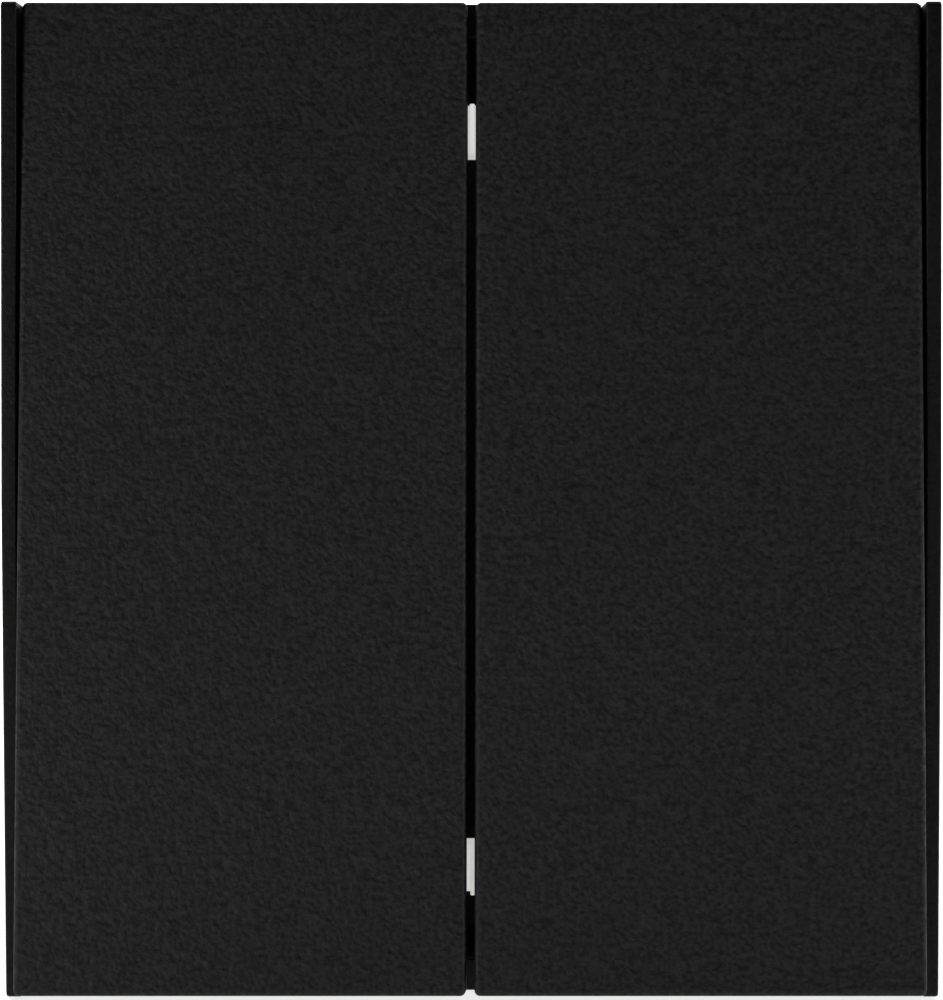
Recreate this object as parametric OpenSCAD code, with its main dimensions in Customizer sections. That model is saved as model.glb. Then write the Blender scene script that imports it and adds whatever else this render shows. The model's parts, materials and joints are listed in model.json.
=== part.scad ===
// Two-gang rocker wall switch, clip-in modular insert with push-in terminals.
// X runs to the right, Y into the wall, Z up; the flange seats on its frame at Y = 0.
// Both rockers are drawn with their top ends pressed in.

/* [Face] */
// Width over the two side cheeks
cheek_span = 45; // [40:0.5:54]
// Height of the side cheeks
cheek_h = 47.9; // [44:0.1:58]
// How far the tray reaches past each end of the cheeks
tray_lip = 0.1; // [0:0.05:0.5]
// Thickness of a cheek
cheek_t = 0.76; // [0.6:0.02:1.2]
// Distance from the seat to the ridge of a cheek
ridge_depth = 9; // [8:0.25:11]
// Slope of a cheek from its ridge to its ends, in degrees
cheek_slope = 1.6; // [0:0.1:3]
// Chamfer at the ends of a cheek
cheek_chamfer = 0.3; // [0.1:0.05:0.6]
// Thickness of the tray's floor
floor_t = 1.4; // [1:0.1:1.6]
// Clearance between a pressed rocker's end and the bar behind it
bar_clear = 0.5; // [0.3:0.05:1]
// Thickness of the top and bottom bars
bar_t = 1.6; // [1:0.1:1.8]
// Depth of the pocket in the tray's back that takes the base
back_pocket = 0.3; // [0.2:0.05:0.5]

/* [Rockers] */
// How far a rocker ends short of each end of the cheeks
end_margin = 0.25; // [0.1:0.05:1]
// Gap between the two rockers
rocker_gap = 0.4; // [0.3:0.02:0.8]
// Gap between a rocker and its cheek
side_gap = 0.17; // [0.1:0.01:0.4]
// Thickness of a rocker's plate
rocker_t = 1.5; // [1:0.1:1.7]
// How far a level rocker stands proud of the ridge
rocker_proud = 1; // [0.6:0.1:1.6]
// Tilt of a rocker from level, in degrees
rocker_tilt = 5.5; // [3:0.25:6]
// Distance from a rocker's face back to its axis
axis_depth = 4; // [3.8:0.1:5]
// Chamfer round a rocker's face
rocker_chamfer = 0.25; // [0.1:0.05:0.5]
// Thickness of a rocker's skirts
skirt_t = 0.9; // [0.6:0.05:1.2]
// Clearance between a pressed rocker's skirts and the tray's floor
skirt_clear = 0.4; // [0.2:0.05:0.8]
// Distance from a rocker's ends in to its end skirts
end_inset = 1.9; // [1.8:0.1:3]
// Distance from a rocker's inner edge to its inner skirt
inner_inset = 0.75; // [0.7:0.05:1.5]

/* [Actuators and plungers] */
// Half the width of an actuator
actuator_half_w = 6.2; // [5.5:0.1:7]
// Radius of an actuator's hub
hub_r = 2.1; // [1.8:0.1:2.2]
// Radius of a trunnion
trunnion_r = 1.2; // [0.9:0.05:1.4]
// Running clearance round a trunnion and a plunger, on the radius
running_gap = 0.05; // [0.02:0.01:0.08]
// Thickness of a bearing ear
ear_t = 1.5; // [1.2:0.1:2]
// Outer radius of an actuator's stem
stem_r = 2.6; // [2.3:0.1:2.8]
// Length of a stem behind its axis
stem_l = 7.2; // [6.5:0.1:7.4]
// Radius of a plunger
plunger_r = 1.5; // [1.2:0.05:1.6]
// Clearance between a level plunger's tip and its moving contact
plunger_gap = 0.3; // [0.2:0.05:0.5]
// Diameter of the spring wire
wire_d = 0.32; // [0.2:0.02:0.4]
// Turns of a plunger spring
spring_turns = 5; // [3:1:7]

/* [Contacts and terminals] */
// Tilt of a moving contact from level, in degrees
contact_tilt = 6; // [4:0.5:7]
// Length of a moving contact
contact_l = 14; // [13:0.5:16]
// Width of a moving contact
contact_w = 4.8; // [4:0.2:5]
// Thickness of a moving contact
contact_t = 0.7; // [0.5:0.05:0.8]
// Distance from the centre to a contact rivet
rivet_z = 5.6; // [5:0.1:6]
// Radius of a contact rivet's head
rivet_r = 1.2; // [1:0.05:1.3]
// Thickness of the terminal strips
strip_t = 0.8; // [0.6:0.05:0.9]
// Width of the terminal strips
strip_w = 5.2; // [4.8:0.1:5.4]
// Thickness of the clamp springs
clamp_t = 0.4; // [0.3:0.05:0.5]
// Radius of a wire entry
wire_entry_r = 1.7; // [1.4:0.05:1.9]
// Travel of a release button
button_travel = 1.2; // [0.8:0.1:1.4]
// Width of a release button
button_w = 3; // [2.4:0.1:3.4]

/* [Base] */
// Distance from the cheeks' outer faces in to the base's side walls
side_lip = 0.9; // [0.8:0.05:1.5]
// Height of the base
base_h = 40; // [39.2:0.2:44]
// Depth of the base behind the seat
base_depth = 22.4; // [22:0.1:27]
// Thickness of the base's side walls
side_wall_t = 1.4; // [1.2:0.1:1.8]
// Thickness of the base's top and bottom walls
end_wall_t = 1.8; // [1.6:0.1:1.9]
// Corner radius of the base
base_corner_r = 1.5; // [0.8:0.1:2.5]
// Thickness of the mechanism cover
cover_t = 2.6; // [2.4:0.1:2.8]
// Thickness of the terminal cover
terminal_cover_t = 2.4; // [2:0.1:2.8]
// Clearance round each cover
cover_gap = 0.1; // [0.05:0.01:0.2]

/* [Indicator and latches] */
// Distance from the centre to a light guide
guide_z = 17.9; // [16:0.1:20]
// Height of a light guide's window
guide_h = 2.36; // [1.5:0.02:3]
// Thickness of a light guide's tip
guide_tip_t = 0.32; // [0.2:0.01:0.36]
// Height of a latch's crest above the base
latch_lift = 1.6; // [1:0.1:2]
// Width of a latch
latch_w = 8; // [5:0.5:10]
// Thickness of a latch
latch_t = 0.5; // [0.3:0.05:0.6]

/* [Hidden] */
$fn = 48;
eps = 0.01;

// Rocker
rocker_h = cheek_h - 2 * end_margin;
face_y = -(ridge_depth + rocker_proud);
plate_back_y = face_y + rocker_t;
axis_y = face_y + axis_depth;
rocker_inner_x = rocker_gap / 2;
rocker_outer_x = cheek_span / 2 - cheek_t - side_gap;
gang_x = (rocker_inner_x + rocker_outer_x) / 2;
skirt_end_z = rocker_h / 2 - end_inset;
skirt_back_y = -floor_t - skirt_clear - skirt_end_z * sin(rocker_tilt);

// Tray
tray_h = cheek_h + 2 * tray_lip;
cheek_inner_x = cheek_span / 2 - cheek_t;
cheek_end_y = -(ridge_depth - cheek_h / 2 * tan(cheek_slope));
bar_y = plate_back_y + rocker_h / 2 * sin(rocker_tilt) + bar_clear;
window_half_w = actuator_half_w + ear_t + 1.3;
window_half_h = 6.5;
rib_half_w = 0.5;
rib_clear = 0.3;
rib_half_h = guide_z - guide_h / 2 - 0.25;
rib_y = plate_back_y + rib_half_h * sin(rocker_tilt) + rib_clear;

// Actuator
pad_t = 1.2;
pad_half_h = 5;
ear_gap = 0.25;
ear_inner = actuator_half_w + ear_gap;
ear_half_h = 2;
clip_gap = 0.1;
clip_t = 1.3;
clip_half_w = 3;
clip_hook_t = 0.6;
bore_r = plunger_r + running_gap;
bore_front_y = axis_y + 1;
stem_end_y = axis_y + stem_l;
plunger_end_y = axis_y + 4.4;

// Moving contact and its knife edge
knife_y = 5.47;
contact_front_y = 5;
contact_back_y = contact_front_y + contact_t;
plunger_tip_y = contact_front_y - plunger_gap;
nose_l = 1.2;
nose_r = plunger_r + 0.7;
groove_depth = contact_back_y - knife_y + 0.07;
rivet_t = 0.6;
rivet_shank_r = 0.55;
rivet_tail_r = 0.9;
rivet_tail_t = 0.25;
rivet_hole_gap = 0.05;
rivet_gap = 0.2;
closed_y = knife_y + rivet_z * sin(contact_tilt)
    + (contact_back_y + rivet_t - knife_y) * cos(contact_tilt) + rivet_gap;
fixed_head_y = closed_y + rivet_t;

// Terminals: each has a strip face at Z = seat_z, and its clamp lies on the side of direction
TERMINALS = ["upper", "common", "lower"];
function seat_z(name) = name == "upper" ? 10 : name == "common" ? -1.2 : -10;
function direction(name) = name == "lower" ? -1 : 1;
strip_end_y = 18.6;
common_head_y = 6.2;
clamp_leg_z = 7.6;
clamp_bend_r = 1.3;
clamp_bend_y = 15.2;
clamp_w = 4.8;
wire_offset = 1.9;
button_low = 4.6;
button_high = 7.1;
button_gap = 0.15;
button_collar = 0.4;
button_pressed_y = 17;
button_inner_y = button_pressed_y + button_travel;
button_proud = 0.4;
button_slot_w = 0.6;
button_slot_depth = 0.8;

// Base
floor_y = fixed_head_y + strip_t + 0.12;
mid_floor_t = 1.2;
chamber_y = floor_y + mid_floor_t;
base_y = -back_pocket;
cover_back_y = base_y + cover_t;
terminal_cover_y = base_depth - terminal_cover_t;
base_half_w = cheek_span / 2 - side_lip;
base_half_h = base_h / 2;
inner_half_w = base_half_w - side_wall_t;
inner_half_h = base_half_h - end_wall_t;
slot_gap = 0.1;
pocket_inner = strip_w / 2 + slot_gap + 0.1;
pocket_wall_t = 1.2;
partition_half_w = 0.7;
boss_r = 2.4;
screw_x = inner_half_w - boss_r - 0.2;
screw_z = inner_half_h - boss_r - 0.2;
rear_screw_z = 12;
screw_r = 0.9;
pilot_r = 0.95;
clear_r = 1.1;
head_r = 1.8;
head_gap = 0.15;
head_t = 0.95;
cover_screw_l = 8;
rear_screw_l = 8.4;
funnel = 0.4;

gauge_depth = 0.35;
gauge_half_h = 1.4;
gauge_l = 9;

// Indicator
board_half_w = 2.1;
board_half_h = guide_z + 1.2;
board_t = 0.8;
led_t = 0.8;
led_y = base_y + 0.1;
board_y = led_y + led_t;
channel_gap = 0.15;
channel_back_y = board_y + board_t + 0.05;
pin_r = 0.3;
pin_gap = 0.08;
pin_x = 1.2;
pin_z = 5;
pin_back_y = 4.6;
guide_body_half_w = 0.45;
guide_flange_t = 0.5;
guide_front_y = plate_back_y + (guide_z + guide_h / 2) * sin(rocker_tilt) + rib_clear;
guide_tip_y = face_y + guide_z * sin(rocker_tilt) + 0.5;
guide_clear = 0.1;

// Latch, as points of its middle line in the plane of Y and Z
latch_root_y = 14.85;
latch_line = [
    [latch_root_y, base_half_h - 1],
    [latch_root_y, base_half_h],
    [10.5, base_half_h],
    [3.6, base_half_h + latch_lift - latch_t / 2],
    [2.4, base_half_h + latch_lift - latch_t / 2 - 0.65]
];
latch_recess = 1.1;
latch_gap = 0.3;

// Snap hooks of the tray
hook_z = 12;
hook_half_h = 2;
hook_l = 5.6;
hook_barb = 0.6;
hook_gap = 0.08;

SIDES = [["left", -1], ["right", 1]];

// ---- helpers ----

// Box between two corners
module block(low, high) {
    translate(low)
        cube(high - low);
}

// Profile given as [Y, Z] points, drawn out along X
module across(points, x0, x1) {
    translate([x0, 0, 0])
        rotate([90, 0, 90])
            linear_extrude(x1 - x0)
                polygon(points);
}

// Profile given as [X, Y] points, drawn out along Z
module upright(points, z0, z1) {
    translate([0, 0, z0])
        linear_extrude(z1 - z0)
            polygon(points);
}

// Round bar along X
module bar_x(r, x0, x1, y, z) {
    translate([x0, y, z])
        rotate([0, 90, 0])
            cylinder(r = r, h = x1 - x0);
}

// Round bar along Y
module bar_y(r, y0, y1, x, z) {
    translate([x, y0, z])
        rotate([-90, 0, 0])
            cylinder(r = r, h = y1 - y0);
}

// Slab across Y with round corners
module slab(half_w, half_h, r, y0, y1) {
    translate([0, y1, 0])
        rotate([90, 0, 0])
            linear_extrude(y1 - y0) {
                square([2 * (half_w - r), 2 * half_h], center = true);
                square([2 * half_w, 2 * (half_h - r)], center = true);
                for (x = [-1, 1], z = [-1, 1])
                    translate([x * (half_w - r), z * (half_h - r)])
                        circle(r);
            }
}

// Turned about an axis along X at the given Y
module tilted(angle, y) {
    translate([0, y, 0])
        rotate([angle, 0, 0])
            translate([0, -y, 0])
                children();
}

function unit(v) = v / norm(v);
function left_of(v) = [-v[1], v[0]];
function side_point(line, i, h) =
    let (last = len(line) - 1)
    i == 0 ? line[0] + h * left_of(unit(line[1] - line[0])) :
    i == last ? line[last] + h * left_of(unit(line[last] - line[last - 1])) :
    let (a = left_of(unit(line[i] - line[i - 1])))
    let (b = left_of(unit(line[i + 1] - line[i])))
    line[i] + h * (a + b) / (1 + a * b);

// Outline of a bent strip of thickness t whose middle line is given
function strip_outline(line, t) = concat(
    [for (i = [0:len(line) - 1]) side_point(line, i, t / 2)],
    [for (i = [len(line) - 1:-1:0]) side_point(line, i, -t / 2)]
);

// Points on an arc
function arc(centre, r, from, to, steps) =
    [for (i = [0:steps]) let (a = from + (to - from) * i / steps) centre + r * [cos(a), sin(a)]];

// Points with Z turned over for a strip that lies the other way up
function flipped(points, d) = [for (p = points) [p[0], d * p[1]]];

// ---- face ----

module cheek(side) {
    end_z = cheek_h / 2;
    outline = [
        [0, -end_z],
        [cheek_end_y + cheek_chamfer, -end_z],
        [cheek_end_y, -end_z + cheek_chamfer],
        [-ridge_depth, 0],
        [cheek_end_y, end_z - cheek_chamfer],
        [cheek_end_y + cheek_chamfer, end_z],
        [0, end_z]
    ];
    x0 = side < 0 ? -cheek_span / 2 : cheek_inner_x;
    across(outline, x0, x0 + cheek_t);
}

module snap_hook(side, z) {
    inner = base_half_w + hook_gap;
    outer = cheek_span / 2 - 0.12;
    outline = [
        [inner, -floor_t],
        [outer, -floor_t],
        [outer, hook_l - 0.5],
        [outer - 0.3, hook_l],
        [inner, hook_l],
        [inner - hook_barb, hook_l - 1],
        [inner, hook_l - 1.3]
    ];
    upright([for (p = outline) [side * p[0], p[1]]], z - hook_half_h, z + hook_half_h);
}

module front_frame() {
    half_w = cheek_span / 2;
    half_h = tray_h / 2;
    color("#1d1d1e")
        union() {
            difference() {
                union() {
                    block([-half_w, -floor_t, -half_h], [half_w, 0, half_h]);
                    for (z = [-half_h, half_h - bar_t])
                        block([-cheek_inner_x - eps, bar_y, z], [cheek_inner_x + eps, -floor_t + eps, z + bar_t]);
                    for (side = [-1, 1])
                        cheek(side);
                }
                block(
                    [-base_half_w - cover_gap, -back_pocket, -base_half_h - cover_gap],
                    [base_half_w + cover_gap, 1, base_half_h + cover_gap]
                );
                for (s = SIDES)
                    block(
                        [s[1] * gang_x - window_half_w, -2, -window_half_h],
                        [s[1] * gang_x + window_half_w, 1, window_half_h]
                    );
                for (z = [-guide_z, guide_z]) {
                    guide_slot(z, guide_body_half_w, guide_h / 2, -floor_t - 1, 1);
                    guide_slot(z, guide_body_half_w + 0.65, guide_h / 2 + 0.6, -back_pocket - guide_flange_t, 1);
                }
            }
            block([-rib_half_w, rib_y, -rib_half_h], [rib_half_w, -floor_t + eps, rib_half_h]);
            for (s = SIDES, z = [-hook_z, hook_z])
                snap_hook(s[1], z);
        }
}

module guide_slot(z, half_w, half_h, y0, y1) {
    block([-half_w - guide_clear, y0, z - half_h - guide_clear], [half_w + guide_clear, y1, z + half_h + guide_clear]);
}

// A level rocker on the given side
module rocker_shell(side) {
    half_h = rocker_h / 2;
    c = rocker_chamfer;
    x0 = side < 0 ? -rocker_outer_x : rocker_inner_x;
    x1 = side < 0 ? -rocker_inner_x : rocker_outer_x;
    inset0 = side < 0 ? 0 : inner_inset;
    inset1 = side < 0 ? inner_inset : 0;
    difference() {
        union() {
            intersection() {
                upright(
                    [[x0, plate_back_y], [x0, face_y + c], [x0 + c, face_y], [x1 - c, face_y], [x1, face_y + c],
                     [x1, plate_back_y]],
                    -half_h, half_h
                );
                across(
                    [[plate_back_y, -half_h], [face_y + c, -half_h], [face_y, -half_h + c], [face_y, half_h - c],
                     [face_y + c, half_h], [plate_back_y, half_h]],
                    x0, x1
                );
            }
            block([x0 + inset0, plate_back_y - eps, -skirt_end_z], [x1 - inset1, skirt_back_y, skirt_end_z]);
        }
        block(
            [x0 + inset0 + skirt_t, plate_back_y, -skirt_end_z + skirt_t],
            [x1 - inset1 - skirt_t, skirt_back_y + 1, skirt_end_z - skirt_t]
        );
    }
}

// Hooks behind a rocker's plate that hold its actuator
module rocker_clips(side) {
    hook_y = plate_back_y + pad_t + clip_gap;
    inner_z = pad_half_h + clip_gap;
    for (d = [-1, 1])
        across(
            flipped([
                [plate_back_y - eps, inner_z], [plate_back_y - eps, inner_z + clip_t],
                [hook_y + clip_hook_t, inner_z + clip_t], [hook_y + clip_hook_t, inner_z - 0.4],
                [hook_y, inner_z - 1], [hook_y, inner_z]
            ], d),
            side * gang_x - clip_half_w, side * gang_x + clip_half_w
        );
}

module rocker(side) {
    color("#1b1b1c")
        tilted(-rocker_tilt, axis_y)
            union() {
                rocker_shell(side);
                rocker_clips(side);
            }
}

module rocker_left() { rocker(-1); }
module rocker_right() { rocker(1); }

// ---- actuators, plungers and their springs ----

module actuator(side) {
    x = side * gang_x;
    color("#d9d8d2")
        tilted(-rocker_tilt, axis_y)
            difference() {
                union() {
                    block([x - actuator_half_w, plate_back_y, -pad_half_h],
                          [x + actuator_half_w, plate_back_y + pad_t, pad_half_h]);
                    bar_x(hub_r, x - actuator_half_w, x + actuator_half_w, axis_y, 0);
                    block([x - actuator_half_w, plate_back_y + eps, -hub_r], [x + actuator_half_w, axis_y, hub_r]);
                    bar_x(trunnion_r, x - ear_inner - ear_t, x + ear_inner + ear_t, axis_y, 0);
                    bar_y(stem_r, axis_y, stem_end_y, x, 0);
                }
                bar_y(bore_r, bore_front_y, stem_end_y + 1, x, 0);
            }
}

module actuator_left() { actuator(-1); }
module actuator_right() { actuator(1); }

// Round pin with a domed nose
module plunger(side) {
    x = side * gang_x;
    color("#efefea")
        tilted(-rocker_tilt, axis_y)
            union() {
                bar_y(plunger_r, plunger_end_y, plunger_tip_y - nose_l, x, 0);
                intersection() {
                    bar_y(plunger_r, plunger_tip_y - nose_l, plunger_tip_y + 1, x, 0);
                    translate([x, plunger_tip_y - nose_r, 0])
                        sphere(nose_r);
                }
            }
}

module plunger_left() { plunger(-1); }
module plunger_right() { plunger(1); }

// Closed tube swept along a helix: rings of points joined by four-sided faces
module coil(r, wire_r, pitch, turns, per_turn, around) {
    rings = turns * per_turn;
    points = [
        for (i = [0:rings], j = [0:around - 1])
            let (a = 360 * i / per_turn)
            let (b = 360 * j / around)
            [(r + wire_r * cos(b)) * cos(a), (r + wire_r * cos(b)) * sin(a), pitch * i / per_turn + wire_r * sin(b)]
    ];
    sides = [
        for (i = [0:rings - 1], j = [0:around - 1])
            let (k = (j + 1) % around)
            [i * around + j, i * around + k, (i + 1) * around + k, (i + 1) * around + j]
    ];
    start = [for (j = [around - 1:-1:0]) j];
    end = [for (j = [0:around - 1]) rings * around + j];
    polyhedron(points, concat(sides, [start, end]), convexity = 8);
}

module plunger_spring(side) {
    room = plunger_end_y - bore_front_y - 2 * 0.05;
    wire_r = wire_d / 2;
    color("#b9bcc0")
        tilted(-rocker_tilt, axis_y)
            translate([side * gang_x, bore_front_y + 0.05 + wire_r, 0])
                rotate([-90, 0, 0])
                    coil(bore_r - 0.12 - wire_r, wire_r, (room - wire_d) / spring_turns, spring_turns, 16, 8);
}

module plunger_spring_left() { plunger_spring(-1); }
module plunger_spring_right() { plunger_spring(1); }

// ---- moving contacts ----

module moving_contact(side) {
    x = side * gang_x;
    half_l = contact_l / 2;
    color("#b87333")
        tilted(contact_tilt, knife_y)
            difference() {
                block([x - contact_w / 2, contact_front_y, -half_l], [x + contact_w / 2, contact_back_y, half_l]);
                across(
                    [[contact_back_y + eps, -0.5], [contact_back_y - groove_depth, 0], [contact_back_y + eps, 0.5]],
                    x - contact_w, x + contact_w
                );
                for (z = [-rivet_z, rivet_z])
                    bar_y(rivet_shank_r + rivet_hole_gap, contact_front_y - 1, contact_back_y + 1, x, z);
            }
}

module moving_contact_left() { moving_contact(-1); }
module moving_contact_right() { moving_contact(1); }

// Rivet whose head lies on the plane head_y, through a strip that ends at tail_y
module rivet(x, z, head_y, tail_y, dir) {
    bar_y(rivet_r, min(head_y, head_y + dir * rivet_t), max(head_y, head_y + dir * rivet_t), x, z);
    bar_y(rivet_shank_r, min(head_y, tail_y) - eps, max(head_y, tail_y) + eps, x, z);
    bar_y(rivet_tail_r, min(tail_y, tail_y - dir * rivet_tail_t), max(tail_y, tail_y - dir * rivet_tail_t), x, z);
}

module moving_rivets(side) {
    color("#d8d8da")
        tilted(contact_tilt, knife_y)
            for (z = [-rivet_z, rivet_z])
                rivet(side * gang_x, z, contact_back_y, contact_front_y, 1);
}

module moving_rivets_left() { moving_rivets(-1); }
module moving_rivets_right() { moving_rivets(1); }

// ---- terminals ----

module common_terminal(side) {
    x = side * gang_x;
    middle_z = seat_z("common") - strip_t / 2;
    head_middle = common_head_y + strip_t / 2;
    line = [[head_middle, 1.6], [head_middle, middle_z], [strip_end_y, middle_z]];
    color("#c9a94f")
        union() {
            across(strip_outline(line, strip_t), x - strip_w / 2, x + strip_w / 2);
            across(
                [[knife_y, 0], [common_head_y + eps, -0.35], [common_head_y + eps, 0.35]],
                x - strip_w / 2, x + strip_w / 2
            );
        }
}

module common_terminal_left() { common_terminal(-1); }
module common_terminal_right() { common_terminal(1); }

module fixed_terminal(side, name) {
    x = side * gang_x;
    d = direction(name);
    leg_z = abs(seat_z(name)) - strip_t / 2;
    head_middle = fixed_head_y + strip_t / 2;
    line = flipped([[head_middle, 4], [head_middle, leg_z], [strip_end_y, leg_z]], d);
    color("#c9a94f")
        difference() {
            across(strip_outline(line, strip_t), x - strip_w / 2, x + strip_w / 2);
            bar_y(rivet_shank_r + rivet_hole_gap, fixed_head_y - 1, fixed_head_y + strip_t + 1, x, d * rivet_z);
        }
}

module upper_terminal_left() { fixed_terminal(-1, "upper"); }
module upper_terminal_right() { fixed_terminal(1, "upper"); }
module lower_terminal_left() { fixed_terminal(-1, "lower"); }
module lower_terminal_right() { fixed_terminal(1, "lower"); }

module fixed_rivets(side) {
    color("#d8d8da")
        for (z = [-rivet_z, rivet_z])
            rivet(side * gang_x, z, fixed_head_y, fixed_head_y + strip_t, -1);
}

module fixed_rivets_left() { fixed_rivets(-1); }
module fixed_rivets_right() { fixed_rivets(1); }

// Clamp spring: a leg on the chamber's wall, a bend, and a blade that ends at the terminal's strip
module clamp_spring(side, name) {
    x = side * gang_x;
    d = direction(name);
    base_z = d * seat_z(name);
    bend = arc([clamp_bend_y, base_z + clamp_leg_z - clamp_bend_r], clamp_bend_r, 90, -50, 7);
    line = concat([[chamber_y + 0.6, base_z + clamp_leg_z]], bend, [[11.8, base_z + 0.35]]);
    color("#b9bcc0")
        across(strip_outline(flipped(line, d), clamp_t), x - clamp_w / 2, x + clamp_w / 2);
}

module upper_clamp_left() { clamp_spring(-1, "upper"); }
module upper_clamp_right() { clamp_spring(1, "upper"); }
module common_clamp_left() { clamp_spring(-1, "common"); }
module common_clamp_right() { clamp_spring(1, "common"); }
module lower_clamp_left() { clamp_spring(-1, "lower"); }
module lower_clamp_right() { clamp_spring(1, "lower"); }

// Lowest and highest Z of a release button, grown by a margin
function button_z(name, margin) =
    let (d = direction(name))
    let (a = seat_z(name) + d * (button_low - margin))
    let (b = seat_z(name) + d * (button_high + margin))
    [min(a, b), max(a, b)];

module release_button(side, name) {
    x = side * gang_x;
    shaft = button_z(name, 0);
    collar = button_z(name, button_collar);
    outer_y = base_depth + button_proud;
    slot_z = (shaft[0] + shaft[1]) / 2;
    color("#e8742a")
        difference() {
            union() {
                block([x - button_w / 2, button_inner_y, shaft[0]], [x + button_w / 2, outer_y, shaft[1]]);
                block(
                    [x - button_w / 2 - button_collar, terminal_cover_y - 1, collar[0]],
                    [x + button_w / 2 + button_collar, terminal_cover_y - 0.2, collar[1]]
                );
            }
            block(
                [x - button_w, outer_y - button_slot_depth, slot_z - button_slot_w / 2],
                [x + button_w, outer_y + 1, slot_z + button_slot_w / 2]
            );
        }
}

module upper_button_left() { release_button(-1, "upper"); }
module upper_button_right() { release_button(1, "upper"); }
module common_button_left() { release_button(-1, "common"); }
module common_button_right() { release_button(1, "common"); }
module lower_button_left() { release_button(-1, "lower"); }
module lower_button_right() { release_button(1, "lower"); }

// ---- base and covers ----

module bearing_ear(x0, x1) {
    difference() {
        union() {
            bar_x(ear_half_h, x0, x1, axis_y, 0);
            block([x0, axis_y, -ear_half_h], [x1, base_y + eps, ear_half_h]);
        }
        bar_x(trunnion_r + running_gap, x0 - 1, x1 + 1, axis_y, 0);
    }
}

module mechanism_cover() {
    color("#c7c8c6")
        difference() {
            union() {
                slab(inner_half_w - cover_gap, inner_half_h - cover_gap, 0.6, base_y, cover_back_y);
                for (s = SIDES, e = [-ear_inner - ear_t, ear_inner])
                    bearing_ear(s[1] * gang_x + e, s[1] * gang_x + e + ear_t);
            }
            for (s = SIDES)
                block([s[1] * gang_x - stem_r - 0.6, -2, -stem_r - 1.3],
                      [s[1] * gang_x + stem_r + 0.6, cover_back_y + 1, stem_r + 1.3]);
            block([-board_half_w - channel_gap, base_y - 1, -board_half_h - channel_gap],
                  [board_half_w + channel_gap, channel_back_y, board_half_h + channel_gap]);
            for (d = [-1, 1])
                bar_y(pin_r + pin_gap, base_y, cover_back_y + 1, d * pin_x, d * pin_z);
            for (x = [-screw_x, screw_x], z = [-screw_z, screw_z]) {
                bar_y(clear_r, base_y - 1, cover_back_y + 1, x, z);
                bar_y(head_r + head_gap, base_y - 1, base_y + head_t + 0.1, x, z);
            }
        }
}

// Openings in the wall behind the contacts for the terminals' legs
module leg_slots(x) {
    for (name = TERMINALS)
        block(
            [x - strip_w / 2 - slot_gap, floor_y - 1.8,
             seat_z(name) - direction(name) * strip_t / 2 - strip_t / 2 - slot_gap],
            [x + strip_w / 2 + slot_gap, chamber_y + eps,
             seat_z(name) - direction(name) * strip_t / 2 + strip_t / 2 + slot_gap]
        );
}

module clamp_chambers(x) {
    for (e = [-pocket_inner - pocket_wall_t, pocket_inner])
        block([x + e, chamber_y - eps, -inner_half_h - eps], [x + e + pocket_wall_t, terminal_cover_y, inner_half_h + eps]);
    upper_back = seat_z("upper") - strip_t - slot_gap - 0.1;
    common_back = seat_z("common") - strip_t - slot_gap;
    lower_back = seat_z("lower") + strip_t + slot_gap + 0.1;
    block([x - pocket_inner - eps, chamber_y - eps, upper_back - 1.9], [x + pocket_inner + eps, terminal_cover_y, upper_back]);
    for (z = [common_back - 1.4, lower_back])
        block([x - pocket_inner - eps, chamber_y - eps, z], [x + pocket_inner + eps, terminal_cover_y, z + 1.4]);
}

module latch_pocket(d) {
    recess_z = base_half_h - latch_recess;
    across(
        flipped([[0.8, recess_z], [0.8, base_half_h + 1], [latch_root_y + 0.6, base_half_h + 1],
                 [latch_root_y + 0.6, inner_half_h + 0.4], [latch_root_y - 0.6, inner_half_h + 0.4],
                 [latch_root_y - 0.6, recess_z]], d),
        -latch_w / 2 - latch_gap, latch_w / 2 + latch_gap
    );
}

// Strip-length gauge: a shallow groove on a side wall, as long as the bared wire
module gauge_groove(d) {
    x = d * base_half_w;
    block([x - gauge_depth, base_depth - gauge_l, -gauge_half_h], [x + gauge_depth, base_depth + 1, gauge_half_h]);
}

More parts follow.
